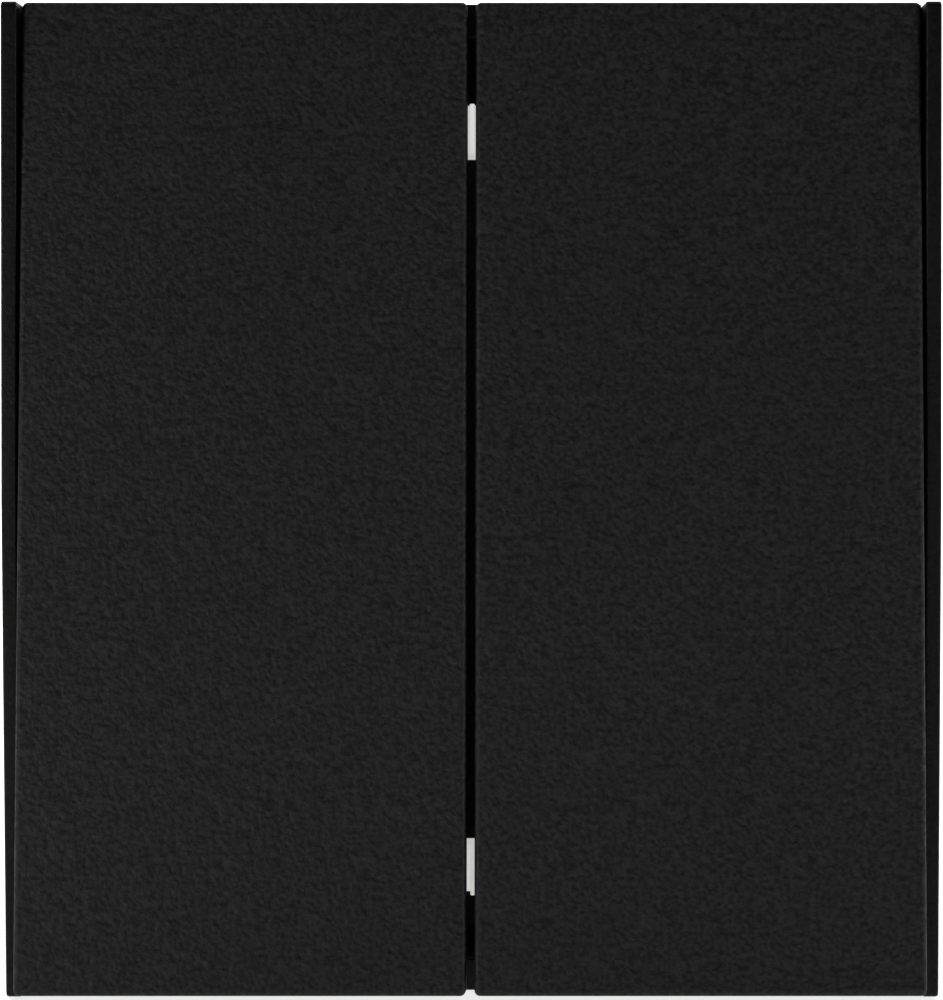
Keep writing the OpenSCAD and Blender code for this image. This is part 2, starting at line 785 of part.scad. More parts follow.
module base_housing() {
    color("#3a3b3d")
        difference() {
            union() {
                difference() {
                    slab(base_half_w, base_half_h, base_corner_r, base_y, base_depth);
                    slab(inner_half_w, inner_half_h, 0.7, base_y - 1, base_depth + 1);
                }
                block([-inner_half_w - eps, floor_y, -inner_half_h - eps],
                      [inner_half_w + eps, chamber_y, inner_half_h + eps]);
                block([-partition_half_w, cover_back_y, -inner_half_h - eps],
                      [partition_half_w, terminal_cover_y, inner_half_h + eps]);
                for (x = [-screw_x, screw_x], z = [-screw_z, screw_z])
                    bar_y(boss_r, cover_back_y, floor_y + eps, x, z);
                for (z = [-rear_screw_z, rear_screw_z])
                    bar_y(boss_r, chamber_y - eps, terminal_cover_y, 0, z);
                for (s = SIDES) {
                    clamp_chambers(s[1] * gang_x);
                    block([s[1] * gang_x - 2.4, common_head_y + strip_t + 0.05, -1],
                          [s[1] * gang_x + 2.4, floor_y + eps, 1.6]);
                }
            }
            for (s = SIDES) {
                leg_slots(s[1] * gang_x);
                for (z = [-rivet_z, rivet_z])
                    bar_y(rivet_tail_r + slot_gap, floor_y - 1, floor_y + rivet_tail_t, s[1] * gang_x, z);
            }
            block([-board_half_w - channel_gap, base_y - 1, -board_half_h - channel_gap],
                  [board_half_w + channel_gap, channel_back_y, board_half_h + channel_gap]);
            for (d = [-1, 1]) {
                latch_pocket(d);
                gauge_groove(d);
                bar_y(pin_r + pin_gap, cover_back_y - 1, floor_y - 1, d * pin_x, d * pin_z);
            }
            for (x = [-screw_x, screw_x], z = [-screw_z, screw_z])
                bar_y(pilot_r, cover_back_y - 1, floor_y - 0.4 + eps, x, z);
            for (z = [-rear_screw_z, rear_screw_z])
                bar_y(pilot_r, chamber_y + 0.8, terminal_cover_y + 1, 0, z);
            for (s = SIDES, z = [-hook_z, hook_z])
                block(
                    [s[1] * base_half_w - hook_barb - 0.15, hook_l - 1.6, z - hook_half_h - 0.2],
                    [s[1] * base_half_w + hook_barb + 0.15, hook_l + 0.3, z + hook_half_h + 0.2]
                );
        }
}

module terminal_cover() {
    color("#cfd0ce")
        difference() {
            slab(inner_half_w - cover_gap, inner_half_h - cover_gap, 0.6, terminal_cover_y, base_depth);
            for (s = SIDES, name = TERMINALS) {
                x = s[1] * gang_x;
                wire_z = seat_z(name) + direction(name) * wire_offset;
                window = button_z(name, button_gap);
                bar_y(wire_entry_r, terminal_cover_y - 1, base_depth + 1, x, wire_z);
                translate([x, base_depth - funnel, wire_z])
                    rotate([-90, 0, 0])
                        cylinder(r1 = wire_entry_r, r2 = wire_entry_r + funnel + 0.1, h = funnel + 0.1);
                block([x - button_w / 2 - button_gap, terminal_cover_y - 1, window[0]],
                      [x + button_w / 2 + button_gap, base_depth + 1, window[1]]);
            }
            for (z = [-rear_screw_z, rear_screw_z]) {
                bar_y(clear_r, terminal_cover_y - 1, base_depth + 1, 0, z);
                bar_y(head_r + head_gap, base_depth - head_t - 0.1, base_depth + 1, 0, z);
            }
        }
}

// Slotted screw whose head lies at head_y and whose shank runs towards dir along Y
module screw(x, z, head_y, dir, l) {
    tip_y = head_y + dir * l;
    under_y = head_y + dir * head_t;
    difference() {
        union() {
            bar_y(head_r, min(head_y, under_y), max(head_y, under_y), x, z);
            bar_y(screw_r, min(head_y, tip_y), max(head_y, tip_y), x, z);
        }
        block(
            [x - head_r - 1, min(head_y - dir, head_y + dir * 0.45), z - 0.25],
            [x + head_r + 1, max(head_y - dir, head_y + dir * 0.45), z + 0.25]
        );
    }
}

module cover_screws() {
    color("#a9acb0")
        for (x = [-screw_x, screw_x], z = [-screw_z, screw_z])
            screw(x, z, base_y + 0.1, 1, min(cover_screw_l, floor_y - base_y - 0.8));
}

module terminal_cover_screws() {
    color("#a9acb0")
        for (z = [-rear_screw_z, rear_screw_z])
            screw(0, z, base_depth - 0.1, -1, rear_screw_l);
}

// ---- indicator ----

module light_guide(z) {
    half_h = guide_h / 2;
    flange_back = base_y - 0.02;
    color("#f1efe6")
        union() {
            block([-guide_tip_t / 2, guide_tip_y, z - half_h], [guide_tip_t / 2, guide_front_y + eps, z + half_h]);
            block([-guide_body_half_w, guide_front_y, z - half_h], [guide_body_half_w, flange_back, z + half_h]);
            block([-guide_body_half_w - 0.65, flange_back - guide_flange_t + 0.04, z - half_h - 0.6],
                  [guide_body_half_w + 0.65, flange_back, z + half_h + 0.6]);
        }
}

module light_guide_upper() { light_guide(guide_z); }
module light_guide_lower() { light_guide(-guide_z); }

module indicator_board() {
    color("#2f6b3f")
        difference() {
            block([-board_half_w, board_y, -board_half_h], [board_half_w, board_y + board_t, board_half_h]);
            for (d = [-1, 1])
                bar_y(pin_r + 0.04, board_y - 1, board_y + board_t + 1, d * pin_x, d * pin_z);
        }
}

// Lamp body with a clear dome's flat, soldered to the board
module led(z) {
    color("#f5f3e4")
        union() {
            block([-0.6, board_y - 0.35, z - 1], [0.6, board_y, z + 1]);
            bar_y(0.5, led_y, board_y - 0.3, 0, z);
        }
}

module led_upper() { led(guide_z); }
module led_lower() { led(-guide_z); }

module chip(z, half_w, half_h, t) {
    block([-half_w, board_y - t, z - half_h], [half_w, board_y, z + half_h]);
}

module dropper_resistor() {
    color("#26262a")
        chip(10, 0.8, 1.6, 0.55);
}

module rectifier_diode() {
    color("#3a3633")
        chip(-10, 0.9, 1.3, 0.7);
}

module board_pins() {
    color("#c9a94f")
        for (d = [-1, 1])
            bar_y(pin_r, board_y - 0.4, pin_back_y, d * pin_x, d * pin_z);
}

// ---- latches ----

module latch(d) {
    color("#b4b7bb")
        across(strip_outline(flipped(latch_line, d), latch_t), -latch_w / 2, latch_w / 2);
}

module latch_top() { latch(1); }
module latch_bottom() { latch(-1); }

front_frame();
rocker_left();
rocker_right();
actuator_left();
actuator_right();
plunger_left();
plunger_right();
plunger_spring_left();
plunger_spring_right();
mechanism_cover();
moving_contact_left();
moving_contact_right();
moving_rivets_left();
moving_rivets_right();
common_terminal_left();
common_terminal_right();
upper_terminal_left();
upper_terminal_right();
lower_terminal_left();
lower_terminal_right();
fixed_rivets_left();
fixed_rivets_right();
upper_clamp_left();
upper_clamp_right();
common_clamp_left();
common_clamp_right();
lower_clamp_left();
lower_clamp_right();
upper_button_left();
upper_button_right();
common_button_left();
common_button_right();
lower_button_left();
lower_button_right();
base_housing();
terminal_cover();
cover_screws();
terminal_cover_screws();
light_guide_upper();
light_guide_lower();
indicator_board();
led_upper();
led_lower();
dropper_resistor();
rectifier_diode();
board_pins();
latch_top();
latch_bottom();
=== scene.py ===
import json
import math
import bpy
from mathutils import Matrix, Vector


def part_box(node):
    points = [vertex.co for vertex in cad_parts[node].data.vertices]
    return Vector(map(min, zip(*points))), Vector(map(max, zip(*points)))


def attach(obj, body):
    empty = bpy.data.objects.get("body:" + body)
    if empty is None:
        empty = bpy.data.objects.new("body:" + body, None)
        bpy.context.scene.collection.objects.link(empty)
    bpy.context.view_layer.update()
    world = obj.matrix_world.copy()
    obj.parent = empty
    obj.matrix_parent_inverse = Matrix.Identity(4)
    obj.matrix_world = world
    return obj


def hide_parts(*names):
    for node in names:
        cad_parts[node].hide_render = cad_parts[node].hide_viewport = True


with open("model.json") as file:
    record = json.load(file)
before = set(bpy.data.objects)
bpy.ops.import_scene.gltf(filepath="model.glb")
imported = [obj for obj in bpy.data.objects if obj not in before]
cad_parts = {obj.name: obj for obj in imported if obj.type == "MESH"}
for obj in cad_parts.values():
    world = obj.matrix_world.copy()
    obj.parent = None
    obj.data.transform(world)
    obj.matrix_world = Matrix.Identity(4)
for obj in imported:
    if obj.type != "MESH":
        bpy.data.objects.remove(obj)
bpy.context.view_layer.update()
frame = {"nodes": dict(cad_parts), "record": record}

from types import SimpleNamespace

import bmesh
import bpy
from bpy.props import FloatProperty, FloatVectorProperty, PointerProperty
from mathutils import Vector

bl_info = {
    "name": "Two-gang rocker switch",
    "version": (1, 0, 0),
    "blender": (4, 5, 0),
    "location": "View3D > Sidebar > Switch",
    "description": "Models and finishes a two-gang rocker wall switch around its design frame",
    "category": "Object",
}

MM = 0.001
SIDES = {"left": -1, "right": 1}
# Each terminal's height, and the way from it to its wire and its release button
TERMINALS = {"upper": (10.0, 1), "common": (-1.2, 1), "lower": (-10.0, -1)}
WIRE_REACH, BUTTON_REACH = 1.9, 5.85
# Height of the rear screws and the snap hooks above and below the middle
SCREW_Z = 12
# Points closer than this are merged
MERGE = 0.002


# ---- sizes and colours that a user would change ----


def length(name, description, mm, low=0.0, high=100.0):
    """A length property given in millimetres."""
    return FloatProperty(
        name=name, description=description, default=mm * MM, min=low * MM, max=high * MM,
        unit="LENGTH", subtype="DISTANCE", precision=5,
    )


def turn(name, description, degrees):
    """An angle property given in degrees."""
    return FloatProperty(
        name=name, description=description, default=math.radians(degrees), min=0.0, max=math.radians(15),
        unit="ROTATION", subtype="ANGLE",
    )


def paint(name, description, colour):
    """A colour property."""
    return FloatVectorProperty(
        name=name, description=description, default=colour, size=3, min=0.0, max=1.0, subtype="COLOR"
    )


class SWITCH_PG_sizes(bpy.types.PropertyGroup):
    """Sizes of the switch's modelled pieces."""

    cheek_span: length("Cheek span", "Width over the two side cheeks", 45)
    cheek_h: length("Cheek height", "Height of the side cheeks", 47.9)
    cheek_t: length("Cheek thickness", "Thickness of a cheek", 0.76)
    cheek_slope: turn("Cheek slope", "Slope of a cheek from its ridge to its ends", 1.6)
    ridge_depth: length("Ridge depth", "Distance from the seat to the ridge of a cheek", 9)
    tray_lip: length("Tray lip", "How far the tray reaches past each end of the cheeks", 0.1)
    floor_t: length("Floor thickness", "Thickness of the tray's floor", 1.4)
    bar_t: length("Bar thickness", "Thickness of the top and bottom bars", 1.6)
    bar_clear: length("Bar clearance", "Clearance between a pressed rocker's end and the bar", 0.5)
    back_pocket: length("Back pocket", "Depth of the pocket that takes the base", 0.3)
    end_margin: length("End margin", "How far a rocker ends short of the cheeks", 0.25)
    rocker_gap: length("Rocker gap", "Gap between the two rockers", 0.4)
    side_gap: length("Side gap", "Gap between a rocker and its cheek", 0.17)
    rocker_t: length("Rocker thickness", "Thickness of a rocker's plate", 1.5)
    rocker_proud: length("Rocker stand", "How far a level rocker stands proud of the ridge", 1)
    rocker_tilt: turn("Rocker tilt", "Tilt of a rocker from level", 5.5)
    axis_depth: length("Axis depth", "Distance from a rocker's face back to its axis", 4)
    rocker_round: length("Rocker rounding", "Radius round a rocker's face", 0.26)
    corner_round: length("Corner rounding", "Corner radius of a rocker's outline", 0.28)
    skirt_t: length("Skirt thickness", "Thickness of a rocker's skirts", 0.9)
    skirt_clear: length("Skirt clearance", "Clearance between a pressed rocker's skirts and the floor", 0.4)
    end_inset: length("End inset", "Distance from a rocker's ends in to its end skirts", 1.9)
    inner_inset: length("Inner inset", "Distance from a rocker's inner edge to its inner skirt", 0.75)
    base_depth: length("Base depth", "Depth of the base behind the seat", 22.4)
    base_h: length("Base height", "Height of the base", 40)
    side_lip: length("Side lip", "Distance from the cheeks in to the base's side walls", 0.9)
    cover_t: length("Terminal cover thickness", "Thickness of the terminal cover", 2.4)
    wire_entry: length("Wire entry", "Radius of a wire entry", 1.7)
    button_w: length("Button width", "Width of a release button", 3)
    guide_z: length("Light guide place", "Distance from the centre to a light guide", 17.9)
    guide_h: length("Light guide height", "Height of a light guide's window", 2.36)
    guide_left: length("Light guide left", "Distance from the middle to a window's left side", 0.10)
    guide_right: length("Light guide right", "Distance from the middle to a window's right side", 0.16)
    latch_w: length("Latch width", "Width of a latch", 8)
    latch_t: length("Latch thickness", "Thickness of a latch", 0.5)
    latch_lift: length("Latch lift", "Height of a latch's crest above the base", 1.6)


class SWITCH_PG_colours(bpy.types.PropertyGroup):
    """Colours of the switch's finishes."""

    face_black: paint("Face black", "Rockers", (0.0062, 0.0062, 0.0063))
    cheek_black: paint("Cheek black", "Tray and cheeks", (0.0036, 0.0036, 0.0037))
    housing_grey: paint("Housing grey", "Glass-filled base housing", (0.036, 0.037, 0.040))
    cover_grey: paint("Cover grey", "Mechanism and terminal covers", (0.46, 0.47, 0.46))
    actuator_white: paint("Actuator white", "Actuators and plungers", (0.74, 0.73, 0.69))
    button_orange: paint("Button orange", "Release buttons", (0.76, 0.17, 0.025))
    guide_white: paint("Light guide white", "Opal light guides", (0.90, 0.90, 0.88))
    copper: paint("Copper", "Moving contacts", (0.72, 0.36, 0.22))
    brass: paint("Brass", "Terminals and pins", (0.72, 0.55, 0.24))
    silver: paint("Silver", "Contact rivets", (0.83, 0.83, 0.84))
    spring_steel: paint("Spring steel", "Clamps, springs and latches", (0.55, 0.56, 0.58))
    zinc_steel: paint("Zinc-plated steel", "Screws", (0.62, 0.64, 0.67))
    board_green: paint("Board green", "Indicator board", (0.03, 0.16, 0.07))
    lamp_clear: paint("Lamp resin", "Lamps on the indicator board", (0.86, 0.84, 0.68))
    component_black: paint("Component black", "Resistor and diode", (0.02, 0.02, 0.022))
    floor_white: paint("Floor", "Studio floor and backdrop", (0.86, 0.86, 0.855))


def plan():
    """Every size in millimetres and every angle in radians, with the places that follow from them."""
    group = bpy.context.scene.switch_sizes
    p = SimpleNamespace(**{key: getattr(group, key) / MM for key in SWITCH_PG_sizes.__annotations__})
    p.cheek_slope, p.rocker_tilt = group.cheek_slope, group.rocker_tilt
    p.half_span = p.cheek_span / 2
    p.cheek_inner = p.half_span - p.cheek_t
    p.cheek_end_y = -(p.ridge_depth - p.cheek_h / 2 * math.tan(p.cheek_slope))
    p.rocker_h = p.cheek_h - 2 * p.end_margin
    p.face_y = -(p.ridge_depth + p.rocker_proud)
    p.plate_back = p.face_y + p.rocker_t
    p.axis_y = p.face_y + p.axis_depth
    p.inner_x = p.rocker_gap / 2
    p.outer_x = p.cheek_inner - p.side_gap
    p.gang_x = (p.inner_x + p.outer_x) / 2
    p.skirt_end = p.rocker_h / 2 - p.end_inset
    sink = math.sin(p.rocker_tilt)
    run_clear, rib_gap, tip_setback = 0.3, 0.25, 0.5
    p.skirt_back = -p.floor_t - p.skirt_clear - p.skirt_end * sink
    p.bar_y = p.plate_back + p.rocker_h / 2 * sink + p.bar_clear
    p.rib_half_h = p.guide_z - p.guide_h / 2 - rib_gap
    p.rib_y = p.plate_back + p.rib_half_h * sink + run_clear
    p.guide_front = p.plate_back + (p.guide_z + p.guide_h / 2) * sink + run_clear
    p.guide_tip_y = p.face_y + p.guide_z * sink + tip_setback
    p.base_half_w = p.half_span - p.side_lip
    p.base_half_h = p.base_h / 2
    p.cover_y = p.base_depth - p.cover_t
    return p


# ---- modelling helpers, in millimetres ----


def settle():
    """Leaves edit mode and deselects everything."""
    if bpy.context.mode != "OBJECT":
        bpy.ops.object.mode_set(mode="OBJECT")
    bpy.ops.object.select_all(action="DESELECT")


def hold(piece):
    """Makes one piece the active and only selected one."""
    settle()
    piece.select_set(True)
    bpy.context.view_layer.objects.active = piece


def apply_place(name):
    """Names the new primitive and puts its place into its mesh."""
    piece = bpy.context.object
    bpy.ops.object.transform_apply(location=True, rotation=True, scale=True)
    piece.name = piece.data.name = name
    return piece


def block(name, low, high):
    """Box between two corners."""
    settle()
    bpy.ops.mesh.primitive_cube_add(
        size=MM,
        location=[(a + b) / 2 * MM for a, b in zip(low, high)],
        scale=[b - a for a, b in zip(low, high)],
    )
    return apply_place(name)


def rod(name, radius, x, y0, y1, z, sides=48):
    """Round bar along Y."""
    settle()
    bpy.ops.mesh.primitive_cylinder_add(
        vertices=sides,
        radius=radius * MM,
        depth=(y1 - y0) * MM,
        location=(x * MM, (y0 + y1) / 2 * MM, z * MM),
        rotation=(-math.pi / 2, 0, 0),
    )
    return apply_place(name)


def centre(item):
    """Middle of a vertex, edge or face, in millimetres."""
    if isinstance(item, bmesh.types.BMVert):
        return item.co / MM
    if isinstance(item, bmesh.types.BMEdge):
        return (item.verts[0].co + item.verts[1].co) / 2 / MM
    return item.calc_center_median() / MM


def run(edge):
    """Direction of an edge."""
    return (edge.verts[1].co - edge.verts[0].co).normalized()


def near(a, b, within=0.02):
    """Whether two numbers are about equal."""
    return abs(a - b) < within


def pick(piece, kind, test):
    """Enters edit mode with only the vertices, edges or faces that pass the test selected."""
    hold(piece)
    bpy.ops.object.mode_set(mode="EDIT")
    bpy.ops.mesh.select_mode(type=kind)
    bpy.ops.mesh.select_all(action="DESELECT")
    mesh = bmesh.from_edit_mesh(piece.data)
    items = {"VERT": mesh.verts, "EDGE": mesh.edges, "FACE": mesh.faces}[kind]
    chosen = [item for item in items if test(item)]
    for item in chosen:
        item.select_set(True)
    mesh.select_flush_mode()
    bmesh.update_edit_mesh(piece.data)
    if not chosen:
        raise RuntimeError(f"{piece.name}: nothing to shape there")


def round_edges(piece, radius, test, segments=3):
    """Rounds the edges that pass the test."""
    pick(piece, "EDGE", test)
    bpy.ops.mesh.bevel(offset=radius * MM, segments=segments, profile=0.5, affect="EDGES", clamp_overlap=True)
    settle()


def slice_at(piece, test, axis, places):
    """Cuts the faces that pass the test along planes across one axis."""
    normal = [0.0, 0.0, 0.0]
    normal[axis] = 1.0
    for place in places:
        point = [0.0, 0.0, 0.0]
        point[axis] = place * MM
        pick(piece, "FACE", test)
        bpy.ops.mesh.bisect(plane_co=point, plane_no=normal)
    settle()


def push(piece, test, move):
    """Extrudes the faces that pass the test by a move."""
    pick(piece, "FACE", test)
    bpy.ops.mesh.extrude_region_move(TRANSFORM_OT_translate={"value": [v * MM for v in move]})
    settle()


def shift(piece, kind, test, move):
    """Moves what passes the test."""
    pick(piece, kind, test)
    bpy.ops.transform.translate(value=[v * MM for v in move])
    settle()


def combine(piece, other, how="UNION"):
    """Joins another solid to the piece, or cuts it away."""
    hold(piece)
    step = piece.modifiers.new("Combine", "BOOLEAN")
    step.operation, step.object, step.solver = how, other, "EXACT"
    bpy.ops.object.modifier_apply(modifier=step.name)
    bpy.data.objects.remove(other)


def cut(piece, other):
    """Cuts another solid away from the piece."""
    combine(piece, other, "DIFFERENCE")


def tidy(piece):
    """Merges doubles, dissolves flat seams and turns all faces outwards."""
    hold(piece)
    bpy.ops.object.mode_set(mode="EDIT")
    bpy.ops.mesh.select_all(action="SELECT")
    bpy.ops.mesh.remove_doubles(threshold=MERGE * MM)
    bpy.ops.mesh.dissolve_limited(angle_limit=math.radians(0.2))
    bpy.ops.mesh.normals_make_consistent(inside=False)
    settle()


def tidy_normals(piece):
    """Turns all faces outwards."""
    hold(piece)
    bpy.ops.object.mode_set(mode="EDIT")
    bpy.ops.mesh.select_all(action="SELECT")
    bpy.ops.mesh.normals_make_consistent(inside=False)
    settle()


def corner(edge, half):
    """Whether an edge is a short one through a strip's thickness, at its side."""
    return edge.calc_length() / MM < 0.6 and all(near(abs(v.co.x / MM), half) for v in edge.verts)


def lathe(name, outline, d=1, sides=40):
    """A turned solid about Y from an outline of (radius, distance) points, running towards d."""
    settle()
    bpy.ops.mesh.primitive_plane_add(size=MM, location=(0, 0, 0))
    piece = apply_place(name)
    pick(piece, "VERT", lambda v: True)
    bpy.ops.mesh.merge(type="CENTER")
    r, y = outline[0]
    bpy.ops.transform.translate(value=(r * MM, d * y * MM, 0))
    for (r0, y0), (r1, y1) in zip(outline, outline[1:]):
        step = ((r1 - r0) * MM, d * (y1 - y0) * MM, 0)
        bpy.ops.mesh.extrude_region_move(TRANSFORM_OT_translate={"value": step})
    bpy.ops.mesh.select_all(action="SELECT")
    bpy.ops.mesh.spin(steps=sides, angle=2 * math.pi, center=(0, 0, 0), axis=(0, 1, 0))
    bpy.ops.mesh.select_all(action="SELECT")
    bpy.ops.mesh.remove_doubles(threshold=MERGE * MM)
    bpy.ops.mesh.normals_make_consistent(inside=False)
    settle()
    return piece


def soften(piece, width, segments=2, angle=40):
    """Breaks every sharp edge with a fine bevel."""
    hold(piece)
    step = piece.modifiers.new("Break edges", "BEVEL")
    step.width, step.segments = width * MM, segments
    step.limit_method, step.angle_limit = "ANGLE", math.radians(angle)
    step.use_clamp_overlap = True
    bpy.ops.object.modifier_apply(modifier=step.name)


def shade(piece, angle=35):
    """Smooth across rounded edges, crisp elsewhere, with flat faces kept flat."""
    hold(piece)
    bpy.ops.object.shade_smooth_by_angle(angle=math.radians(angle))
    step = piece.modifiers.new("Even shading", "WEIGHTED_NORMAL")
    step.keep_sharp = True
    bpy.ops.object.modifier_apply(modifier=step.name)
    settle()


def tilt(piece, angle, y):
    """Turns a piece by an angle in radians about an axis along X at the given Y."""
    hold(piece)
    bpy.context.scene.cursor.location = (0, y * MM, 0)
    bpy.ops.object.origin_set(type="ORIGIN_CURSOR")
    piece.rotation_euler.x = angle
    bpy.ops.object.transform_apply(location=True, rotation=True, scale=True)
    bpy.context.scene.cursor.location = (0, 0, 0)


def copied(piece, name, move=(0, 0, 0), mirror=None):
    """A copy with its own mesh, moved, or mirrored across one axis."""
    hold(piece)
    bpy.ops.object.duplicate()
    twin = bpy.context.object
    twin.location = [v * MM for v in move]
    if mirror is not None:
        twin.scale[mirror] = -1
    bpy.ops.object.transform_apply(location=True, rotation=True, scale=True)
    twin.name = twin.data.name = name
    if mirror is not None:
        tidy_normals(twin)
    settle()
    return twin


def copy_of_node(node, name):
    """A merged copy of a design node, to be finished with rounded edges."""
    piece = frame["nodes"][node].copy()
    piece.data = piece.data.copy()
    bpy.context.scene.collection.objects.link(piece)
    piece.name = piece.data.name = name
    tidy(piece)
    return piece


def place(piece, body, nodes, slot, finish=None):
    """Gives a finished piece its finish, its body and the nodes it stands for."""
    piece.data.materials.clear()
    piece.data.materials.append(bpy.data.materials[finish or slot])
    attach(piece, body)
    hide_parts(*nodes)


# ---- finishes ----


def fresh(name):
    """An empty node tree with a shader and its output: (tree, shader, object coordinates)."""
    material = bpy.data.materials.get(name)
    if material is not None:
        material.name = name + "_design"
    material = bpy.data.materials.new(name)
    material.use_nodes = True
    tree = material.node_tree
    tree.nodes.clear()
    output = tree.nodes.new("ShaderNodeOutputMaterial")
    shader = tree.nodes.new("ShaderNodeBsdfPrincipled")
    tree.links.new(shader.outputs["BSDF"], output.inputs["Surface"])
    where = tree.nodes.new("ShaderNodeTexCoord").outputs["Object"]
    return tree, shader, where


def noise(tree, where, size, detail=2.0, roughness=0.5, stretch=None, offset=0.0):
    """Noise whose blobs are about the given size in millimetres."""
    if stretch is not None or offset:
        mapping = tree.nodes.new("ShaderNodeMapping")
        mapping.inputs["Scale"].default_value = stretch or (1, 1, 1)
        mapping.inputs["Location"].default_value = (offset * MM, offset * MM, offset * MM)
        tree.links.new(where, mapping.inputs["Vector"])
        where = mapping.outputs["Vector"]
    texture = tree.nodes.new("ShaderNodeTexNoise")
    texture.inputs["Scale"].default_value = 1 / (size * MM)
    texture.inputs["Detail"].default_value = detail
    texture.inputs["Roughness"].default_value = roughness
    tree.links.new(where, texture.inputs["Vector"])
    return texture.outputs["Fac"]


def spread(tree, value, low, high, start=0.3, end=0.7):
    """The value carried from start..end to low..high."""
    step = tree.nodes.new("ShaderNodeMapRange")
    for key, number in (("From Min", start), ("From Max", end), ("To Min", low), ("To Max", high)):
        step.inputs[key].default_value = number
    tree.links.new(value, step.inputs["Value"])
    return step.outputs["Result"]


def blend(tree, factor, first, second):
    """A colour mixed from two colours, each a tuple or a socket."""
    step = tree.nodes.new("ShaderNodeMix")
    step.data_type = "RGBA"
    tree.links.new(factor, step.inputs[0])
    for socket, colour in ((step.inputs[6], first), (step.inputs[7], second)):
        if isinstance(colour, bpy.types.NodeSocket):
            tree.links.new(colour, socket)
        else:
            socket.default_value = (*colour, 1)
    return step.outputs[2]


def times(tree, first, second):
    """Two colour sockets multiplied."""
    step = tree.nodes.new("ShaderNodeMix")
    step.data_type, step.blend_type = "RGBA", "MULTIPLY"
    step.inputs[0].default_value = 1.0
    tree.links.new(first, step.inputs[6])
    tree.links.new(second, step.inputs[7])
    return step.outputs[2]


def relief(tree, height, depth, before=None):
    """Bump of the given depth in millimetres, laid over an earlier one."""
    step = tree.nodes.new("ShaderNodeBump")
    step.inputs["Strength"].default_value = 1.0
    step.inputs["Distance"].default_value = depth * MM
    tree.links.new(height, step.inputs["Height"])
    if before is not None:
        tree.links.new(before, step.inputs["Normal"])
    return step.outputs["Normal"]


def shades(colour, dark, light):
    """A darker and a lighter shade of a colour."""
    return tuple(c * dark for c in colour), tuple(min(1.0, c * light) for c in colour)


def moulded(name, colour, rough, grain, depth, contrast, level, coat=0.0, streaks=0.0):
    """Moulded plastic: fine grain, slow cloudiness and, for a filled plastic, flow streaks."""
    tree, shader, where = fresh(name)
    fine = noise(tree, where, grain, 3.0, 0.6)
    cloud = noise(tree, where, 9.0, 2.0, 0.5, offset=3.0)
    dark, light = shades(colour, 1 - contrast, 1 + contrast)
    base = blend(tree, spread(tree, fine, 0, 1), dark, light)
    low, high = shades((1, 1, 1), 0.94, 1.0)
    tint = blend(tree, spread(tree, cloud, 0, 1), low, high)
    product = times(tree, base, tint)
    bump = relief(tree, fine, depth)
    if streaks:
        flow = noise(tree, where, 0.35, 4.0, 0.65, stretch=(1, 0.16, 0.5), offset=7.0)
        bump = relief(tree, flow, streaks, bump)
        speck = spread(tree, flow, 0, 1, 0.62, 0.74)
        product = blend(tree, speck, product, shades(colour, 1, 1.3)[1])
    tree.links.new(product, shader.inputs["Base Color"])
    tree.links.new(spread(tree, fine, rough - 0.06, rough + 0.06), shader.inputs["Roughness"])
    tree.links.new(bump, shader.inputs["Normal"])
    shader.inputs["Specular IOR Level"].default_value = level
    shader.inputs["Coat Weight"].default_value = coat
    shader.inputs["Coat Roughness"].default_value = 0.25


def metal(name, colour, rough, lines, depth, tarnish=0.25, drawn=(1, 1, 0.04)):
    """Rolled or stamped metal: drawn lines, slow tarnish and small dulled spots."""
    tree, shader, where = fresh(name)
    drawn_lines = noise(tree, where, lines, 3.0, 0.6, stretch=drawn)
    cloud = noise(tree, where, 2.6, 3.0, 0.55, offset=5.0)
    dark, light = shades(colour, 1 - tarnish, 1.04)
    dull = blend(tree, spread(tree, cloud, 0, 1, 0.35, 0.7), light, dark)
    fine_dark, fine_light = shades((1, 1, 1), 0.86, 1.0)
    product = times(tree, dull, blend(tree, spread(tree, drawn_lines, 0, 1), fine_dark, fine_light))
    tree.links.new(product, shader.inputs["Base Color"])
    shader.inputs["Metallic"].default_value = 1.0
    tree.links.new(spread(tree, drawn_lines, rough - 0.08, rough + 0.1), shader.inputs["Roughness"])
    tree.links.new(relief(tree, drawn_lines, depth), shader.inputs["Normal"])


def make_face_black(name, colour, rough, grain, depth, contrast, level, painted_light_swing):
    """Matt black of the face, with its spark-eroded grain and painted light: paler towards the foot, darker
    towards the top.
    """
    tree, shader, where = fresh(name)
    fine = noise(tree, where, grain, 2.0, 0.45)
    coarse = noise(tree, where, grain * 2.3, 2.0, 0.5, offset=4.0)
    cloud = noise(tree, where, 11.0, 2.0, 0.5, offset=9.0)
    dark, light = shades(colour, 1 - contrast, 1 + contrast)
    pits = blend(tree, spread(tree, fine, 0, 1, 0.34, 0.66), dark, light)
    slow_dark, slow_light = shades((1, 1, 1), 0.9, 1.0)
    slow = blend(tree, spread(tree, cloud, 0, 1), slow_dark, slow_light)
    half_face = 24 * MM
    split = tree.nodes.new("ShaderNodeSeparateXYZ")
    tree.links.new(where, split.inputs[0])
    top, foot = shades((1, 1, 1), 1 - painted_light_swing, 1 + painted_light_swing)
    # Painted light: the colour runs from (1 - swing) at the top to (1 + swing) at the foot, standing in for
    # the light from below
    painted_foot_light = blend(tree, spread(tree, split.outputs["Z"], 1, 0, -half_face, half_face), top, foot)
    tree.links.new(times(tree, times(tree, pits, slow), painted_foot_light), shader.inputs["Base Color"])
    tree.links.new(spread(tree, coarse, rough - 0.07, rough + 0.07), shader.inputs["Roughness"])
    bump = relief(tree, fine, depth)
    tree.links.new(relief(tree, coarse, depth, bump), shader.inputs["Normal"])
    shader.inputs["Specular IOR Level"].default_value = level


